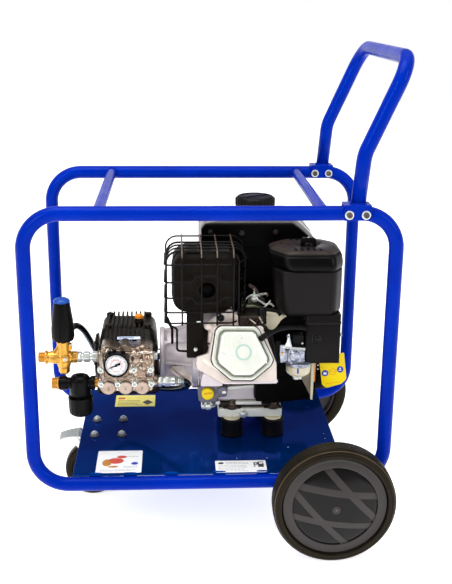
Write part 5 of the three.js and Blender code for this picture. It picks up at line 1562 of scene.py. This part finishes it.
def make_manifold():
    left, right, front, back, top = -229, -114.5, -105, -48.4, 250
    form = Form()
    # upper block with a wavy top flange, thinner flange lines and a recessed face
    crest = []
    for i in range(33):
        x = left + 4 + (right - left - 8) * i / 32
        crest.append((x, top - 4 + 3.4 * sin((x - left) / (right - left) * tau * 3 - 0.8)))
    outline = [(left + 2, 176), *crest, (right - 2, 176)]
    form.loft("y", [(grown(outline, 0.97), front + 12), (grown(outline, 0.99), front + 14),
        (outline, front + 18), (outline, back)])
    plate = soften([(left, 176), (left, 232), (left + 9, 238), (right - 9, 238), (right, 232),
        (right, 176)], 7)
    form.layers("y", plate, front, (3, 0.6), (1, 2), (0, 4), (0, 20))
    lower = soften([(left + 2, 150), (left + 2, 208), (right - 2, 208), (right - 2, 150)], 6)
    form.layers("y", lower, front, (2, 1), (0, 4), (0, back - front))
    for x in VALVE_X:  # valve housings with their raised collars
        form.turned("y", (x, 162), [(17.4, front + 0.4), (19.4, front + 2.4), (20, front + 8), (20, back)],
            48)
        form.rod("y", (x, 196), 14.6, (front + 0.2, back), 36, 2)
    # irregular lumps, webs and the two round bosses on the upper face
    for x, z, radius in ((-152, 222, 10.4), (-128, 217, 8.6), (-218, 228, 7), (-164, 186, 6),
            (-140, 205, 7.4), (-205, 206, 7), (-124, 190, 6.2)):
        form.turned("y", (x, z), [(radius - 2, -2.4), (radius, -0.4), (radius + 1.6, 5)], 32, start=front)
    for a, b, radius in (((-152, 222), (-128, 217), 4.4), ((-128, 232), (-128, 186), 5.4),
            ((-172, 226), (-152, 240), 4.6), ((-164, 186), (-164, 214), 4), ((-222, 178), (-222, 236), 4.2),
            ((-226, 182), (-120, 182), 3.2), ((-146, 238), (-118, 238), 3.6), ((-218, 240), (-206, 245), 4)):
        form.bar(front + 0.6, a, b, radius, 16)
    form.turned("z", (-134, front + 4), [(7.6, 196), (8.6, 200), (8.6, 230), (7, 234)], 32)
    for centre in ((-80, 220), (-90, 165)):
        form.rod("x", centre, 13.6, (left - 2.6, left + 6), 32, 1.2)
    form.rod("x", (-80, 163), 13.6, (right - 4, right + 5.8), 32, 1.2)
    form.mark = 1  # turned valve caps and the plug beside the gauge
    for x in VALVE_X:
        form.lathe("y", (x, 160), [(0, -5.4), (3, -5.2), (3.6, -6.2), (12.6, -6.9), (14.2, -6.2),
            (14.7, -5), (14.7, 2), (0, 2)], 48, start=front)
    form.turned("y", (-152, 222), [(6.6, -5.6), (7.8, -4.4), (7.8, 0)], 32, start=front)
    form.mark = 2
    for x, z in ((-226.4, 168), (-191.3, 168), (-156.3, 168), (-121, 168), (-226.4, 200), (-157, 200),
            (-122, 200)):
        form.rod("y", (x, z), 7.4, (front - 1.8, front + 4), 28, 0.5)
        form.socket_bolt("y", (x, z), front - 1.8, 6, 5, -1)
    form.hex_bolt("x", (-80, 220), right - 1, 8, 6.6, 1)
    piece("pump_manifold", form, "nickel nickel_cap zinc", "pump_head")


def make_gauge():
    x, z, radius, front = -191.5, 222, 26.3, -140
    form = Form()
    form.lathe("y", (x, z), [(0, 4), (22.6, 4), (22.8, 0.6), (23.6, -0.6), (25, -0.9), (26, 0.4),
        (radius, 2.4), (radius, 20), (24.6, 23.4), (19, 26.6), (0, 26.8)], 80, start=front)
    form.rod("y", (x, z), 7.8, (front + 26, -105.4), 28, 0.6)
    form.turned("y", (x, z), [(10, -113, "hex"), (10, -106, "hex")], 24)
    for angle in (58, 100, 122):  # tabs behind the top of the case
        a = radians(angle)
        form.pivot("y", (x, 0, z), pi / 2 - a)
        form.block((-4.4, 4.4), (front + 14, front + 23), (20, 30), 1.2)
    form.level()
    form.mark = 1
    form.rod("y", (x, z), 22.4, (front + 3.2, front + 4.1), 80)
    proud = (front + 3.2 - 0.12, front + 3.2 + 0.1)

    def scale(count, half, reach):
        """Ticks over three quarters of a turn. reach says how far in and out each of them goes."""
        for k in range(count):
            form.pivot("y", (x, 0, z), pi / 2 - radians(225 - 270 * k / (count - 1)))
            form.block((-half, half), proud, reach(k))
        form.level()

    form.mark = 2
    scale(41, 0.4, lambda k: (19 if k % 5 else 17.4, 20.8))
    form.mark = 3  # the pale red inner scale
    scale(28, 0.5, lambda k: (10.2, 12.4 if k % 3 else 14.2))
    form.mark = 4
    for k in range(5):
        form.block((x - 6 + k * 2.6, x - 4.4 + k * 2.6), proud, (z - 14.4, z - 12.6))
    piece("gauge_body", form, "plastic white ink gauge_red orange", "gauge_case")

    form = Form().turned("y", (x, z), [(22.9, 0.1), (22.9, 0.9)], 64, start=front)
    piece("gauge_window", form, "glass")

    form = Form()
    toward = radians(206)
    form.pivot("y", (x, 0, z), -toward)
    form.prism("y", [(-9, -2.2), (-6, -2.6), (-2, -1.3), (17.6, -0.4), (17.6, 0.4), (-2, 1.3), (-6, 2.6),
        (-9, 2.2)], (front + 1.5, front + 2.3), 0.2)
    form.level()
    form.rod("y", (x, z), 3, (front + 1.2, front + 3.1), 28, 0.3)
    piece("gauge_pointer", form, "plastic", "gauge_needle", body="gauge_needle")


def thread(form, axis, centre, radius, span):
    """A threaded stub, drawn as close rings."""
    pitch = 1.8
    profile = [(0, span[0]), (radius - 1, span[0])]
    turns = int(abs(span[1] - span[0]) / pitch)
    step = (span[1] - span[0]) / turns
    for k in range(turns):
        a = span[0] + k * step
        profile += [(radius - 0.9, a + step * 0.1), (radius, a + step * 0.4), (radius, a + step * 0.6),
            (radius - 0.9, a + step * 0.9)]
    form.lathe(axis, centre, [*profile, (radius - 1, span[1]), (0, span[1])], 40)


def make_unloader():
    x, y, z = -305, -80, 220
    form = Form()
    thread(form, "x", (y, z), 11, (-357.8, -343))
    form.turned("x", (y, z), [(14, -344), (14.8, -343), (14.8, -340.6), (14, -339.4), (12.2, -338.4),
        (12.2, -334), (13.4, -331), (13.8, -316), (13.8, -296), (12.6, -292), (12.2, -286)], 48)
    form.turned("x", (y, z), [(12.6, -290, "hex"), (12.6, -277, "hex")], 48)
    form.turned("z", (x, y), [(8.4, 184), (10.6, 186, "hex"), (11.8, 187.4, "hex"), (11.8, 197, "hex"),
        (12.6, 198.6), (14, 203), (15, 210), (15, 228), (13.8, 234), (13.4, 252), (14.6, 254),
        (14.6, 257.6)], 48)
    form.sweep(spline([(-322, y, 226), (-314, y - 1, 236), (-308, y - 1, 248)], 5), 9, 24)
    form.turned("y", (x + 4, z + 1), [(6, -17.6), (8.4, -16), (9.6, -12), (9.6, 0)], 32, start=y)
    form.rod("y", (x, 236), 8, (y, y + 27.4), 32, 0.8)
    form.block((x + 11, x + 17), (y - 8, y + 8), (236, 250), 1.6)
    form.mark = 1
    form.socket_bolt("y", (x + 4, z + 1), y - 17.8, 3.8, 1.6, -1)
    form.rod("x", (y - 6, 250), 2.2, (x + 13, x + 19), 16, 0.5)
    form.rod("z", (x + 19, y - 6), 1.5, (243, 256), 12, 0.4)
    piece("unloader_valve", form, "brass zinc", "unloader_body")

    form = Form()
    form.turned("z", (x, y), [(19, 258.4), (21.6, 259.6), (23.2, 263), (23.8, 270), (23.6, 284),
        (22.4, 300), (18.4, 330), (17.2, 339), (16.6, 343)], 72)
    for _ in form.around("z", (x, y, 0), 14):
        form.loft("z", [([(21.4, -1.7), (24, -1.3), (24, 1.3), (21.4, 1.7)], 265),
            ([(21.6, -1.7), (24, -1.3), (24, 1.3), (21.6, 1.7)], 284), ([(15.4, -1.2), (18, -0.9),
            (18, 0.9), (15.4, 1.2)], 334)], 0.6)
    form.mark = 1
    form.lathe("z", (x, y), [(0, 342), (17, 342), (17.4, 343), (17, 345.6), (14.6, 348.4), (9, 350.4),
        (0, 350.9)], 56)
    form.pipe("z", (x, y), 9.4, 8.2, (349.6, 350.8), 40, 0.3)
    piece("pressure_knob", form, "plastic blue_cap", "unloader_knob", body="unloader_knob")

    form = Form()
    start = -232.8
    form.turned("x", (y, z), [(12, start, "hex"), (12, start - 11, "hex"), (10.4, start - 12),
        (8.4, start - 13), (8.4, start - 17), (10.4, start - 18), (12, start - 18.6, "hex"),
        (12, start - 29, "hex"), (10.4, start - 30), (8.6, start - 31), (8.6, start - 34),
        (10.6, start - 35), (12, start - 35.4, "hex"), (12, -276.4, "hex")], 48)
    piece("outlet_hex_nipple", form, "zinc", "outlet_nipple", sharp=SHADED_SHARP)

    form = Form()
    start = -108.2
    form.turned("x", (y, 163), [(12, start, "hex"), (12, start + 9, "hex"), (10, start + 10),
        (8, start + 11), (8, start + 14.6), (11.6, start + 15.6, "hex"), (11.6, start + 25, "hex"),
        (9.6, start + 26), (9, start + 29), (9.4, -72), (8.6, -70.2)], 48)
    piece("inlet_hex_fitting", form, "zinc", "inlet_fitting", sharp=SHADED_SHARP)


def make_filter():
    x, y, z = -272, -90, 165
    form = Form()
    form.lathe("z", (x, y), [(0, 135.4), (22.4, 135.4), (22.4, 150), (22, 160), (22, 170), (21, 176),
        (18, 180.6), (13, 183), (10, 183.4), (9, 182), (0, 181)], 64)
    form.turned("z", (x, y), [(6.6, 182), (6.2, 185.4), (4.6, 186)], 32)
    form.turned("x", (y, z), [(14, -315.6), (15, -314.6), (15, -301), (13.6, -299.4), (12.4, -298),
        (12, -292), (14, -284), (14, -256), (12, -251), (14, -249.6), (15, -247), (15, -241.4),
        (14, -240.2)], 48)
    for _ in form.around("x", (0, y, z), 6):
        form.block((-314.6, -301), (-1.4, 1.4), (14, 15.6), 0.4)
    form.mark = 1
    thread(form, "x", (y, z), 12.4, (-330.8, -320))
    form.turned("x", (y, z), [(12.8, -321, "hex"), (12.8, -315, "hex")], 48)
    thread(form, "x", (y, z), 10.4, (-241, -229))
    form.mark = 2
    form.pipe("z", (x, y), 14, 9, (105, 140), 32)
    piece("filter_top", form, "plastic brass zinc", "filter_head")

    form = Form()
    form.lathe("z", (x, y), [(0, 93.2), (8, 93.2), (10, 94), (19, 94), (23, 97), (24.6, 102), (25.4, 120),
        (25.8, 127), (26.2, 128.6), (26.2, 134), (25.4, 134.9), (22.8, 134.9), (22.8, 132), (21.4, 112),
        (18, 99), (0, 98)], 72)
    for _ in form.around("z", (x, y, 0), 16):
        form.loft("z", [([(22.6, -1.5), (25, -1.1), (25, 1.1), (22.6, 1.5)], 99),
            ([(24, -1.7), (26.1, -1.3), (26.1, 1.3), (24, 1.7)], 126)], 0.5)
    piece("filter_cup", form, "plastic", "filter_bowl", body="filter_bowl")


HOSE_ROUTE = ((-305, -52, 236), (-305, -42, 236), (-303, -28, 246), (-296, -16, 260), (-284, -2, 263),
    (-272, 22, 244), (-262, 56, 210), (-255, 88, 178), (-238, 101, 150), (-214, 106, 124), (-186, 99, 105),
    (-154, 74, 99), (-116, 34, 102), (-80, 2, 111), (-58, -26, 124), (-46, -50, 138), (-43, -69, 151),
    (-50, -79, 161), (-60, -80, 163), (-69.6, -80, 163))


def make_hose():
    route = spline(HOSE_ROUTE, 8)
    form = Form().sweep(route, 6.9, 28)
    form.mark = 1
    for end, inward in ((route[0], route[8] - route[0]), (route[-1], route[-9] - route[-1])):
        ahead = inward.normalized()
        form.sweep([end + ahead * 0.3, end + ahead * 9, end + ahead * 18], 8.3, 28)
        for k in range(3):
            form.sweep([end + ahead * (3 + 4 * k), end + ahead * (4.6 + 4 * k)], 8.9, 28)
    piece("bypass_line", form, "hose zinc", "bypass_hose")


# ---- yellow tag
def make_tag():
    y = (-54.4, -53.6)
    ink, spot, symbol = (y[0] - 0.12, y[0] + 0.1), (y[0] - 0.14, y[0] + 0.1), (y[0] - 0.26, y[0])
    outline = soften([(242, 204), (251, 141), (260, 131), (294, 141), (305, 152), (297, 214)],
        [2, 8, 10, 10, 8, 2])
    form = Form()
    form.prism("y", outline, y, 0.2)
    form.mark = 1
    for x, z, radius in ((257, 166.4, 7.4), (290, 175, 7.4)):
        form.rod("y", (x, z), radius, spot, 40)
    form.mark = 2
    form.pipe("y", (274, 169.6), 7.4, 6.3, spot, 40)
    form.block((269.6, 278.4), ink, (169, 170.4))
    form.mark = 3
    form.block((253.6, 260.4), symbol, (163.4, 168.4))
    form.block((287, 293), symbol, (172, 174))
    form.rod("y", (290, 177.2), 1.8, symbol, 20)
    form.mark = 4
    form.pipe("y", (278, 203), 3.4, 2, (y[0] - 0.2, y[1] + 0.2), 24)
    form.mark = 2
    for k in range(6):
        form.block((261 + k * 5.4, 265 + k * 5.4), ink, (141 + k * 0.9, 142.2 + k * 0.9))
    form.mark = 5  # the cord that holds the tag to the blower
    loop = spline([(278, -52, 203), (277, -42, 216), (273, -24, 228), (268, -32, 232), (274, -54, 220),
        (278, -56, 204)], 6)
    form.sweep(loop, 0.8, 8)
    piece("plain_yellow_tag", form, "yellow blue_ink orange white brass rubber")


# ---- the whole machine
make_stage()
make_camera()
materials = make_materials()
for make in (make_frame, make_wheels, make_caster, make_engine, make_pump, make_labels, make_tag):
    make()

KEPT = {  # the CAD nodes that are shown as they are, all of them inside the casings
    "crankshaft": "steel", "flywheel": "iron", "shaft_coupling": "steel", "pump_shaft": "steel",
    "air_filter_element": "paper",
}
for cad_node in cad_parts.values():
    if not cad_node.hide_render:
        cad_node.data.materials.clear()
        cad_node.data.materials.append(materials[KEPT[cad_node.name]])
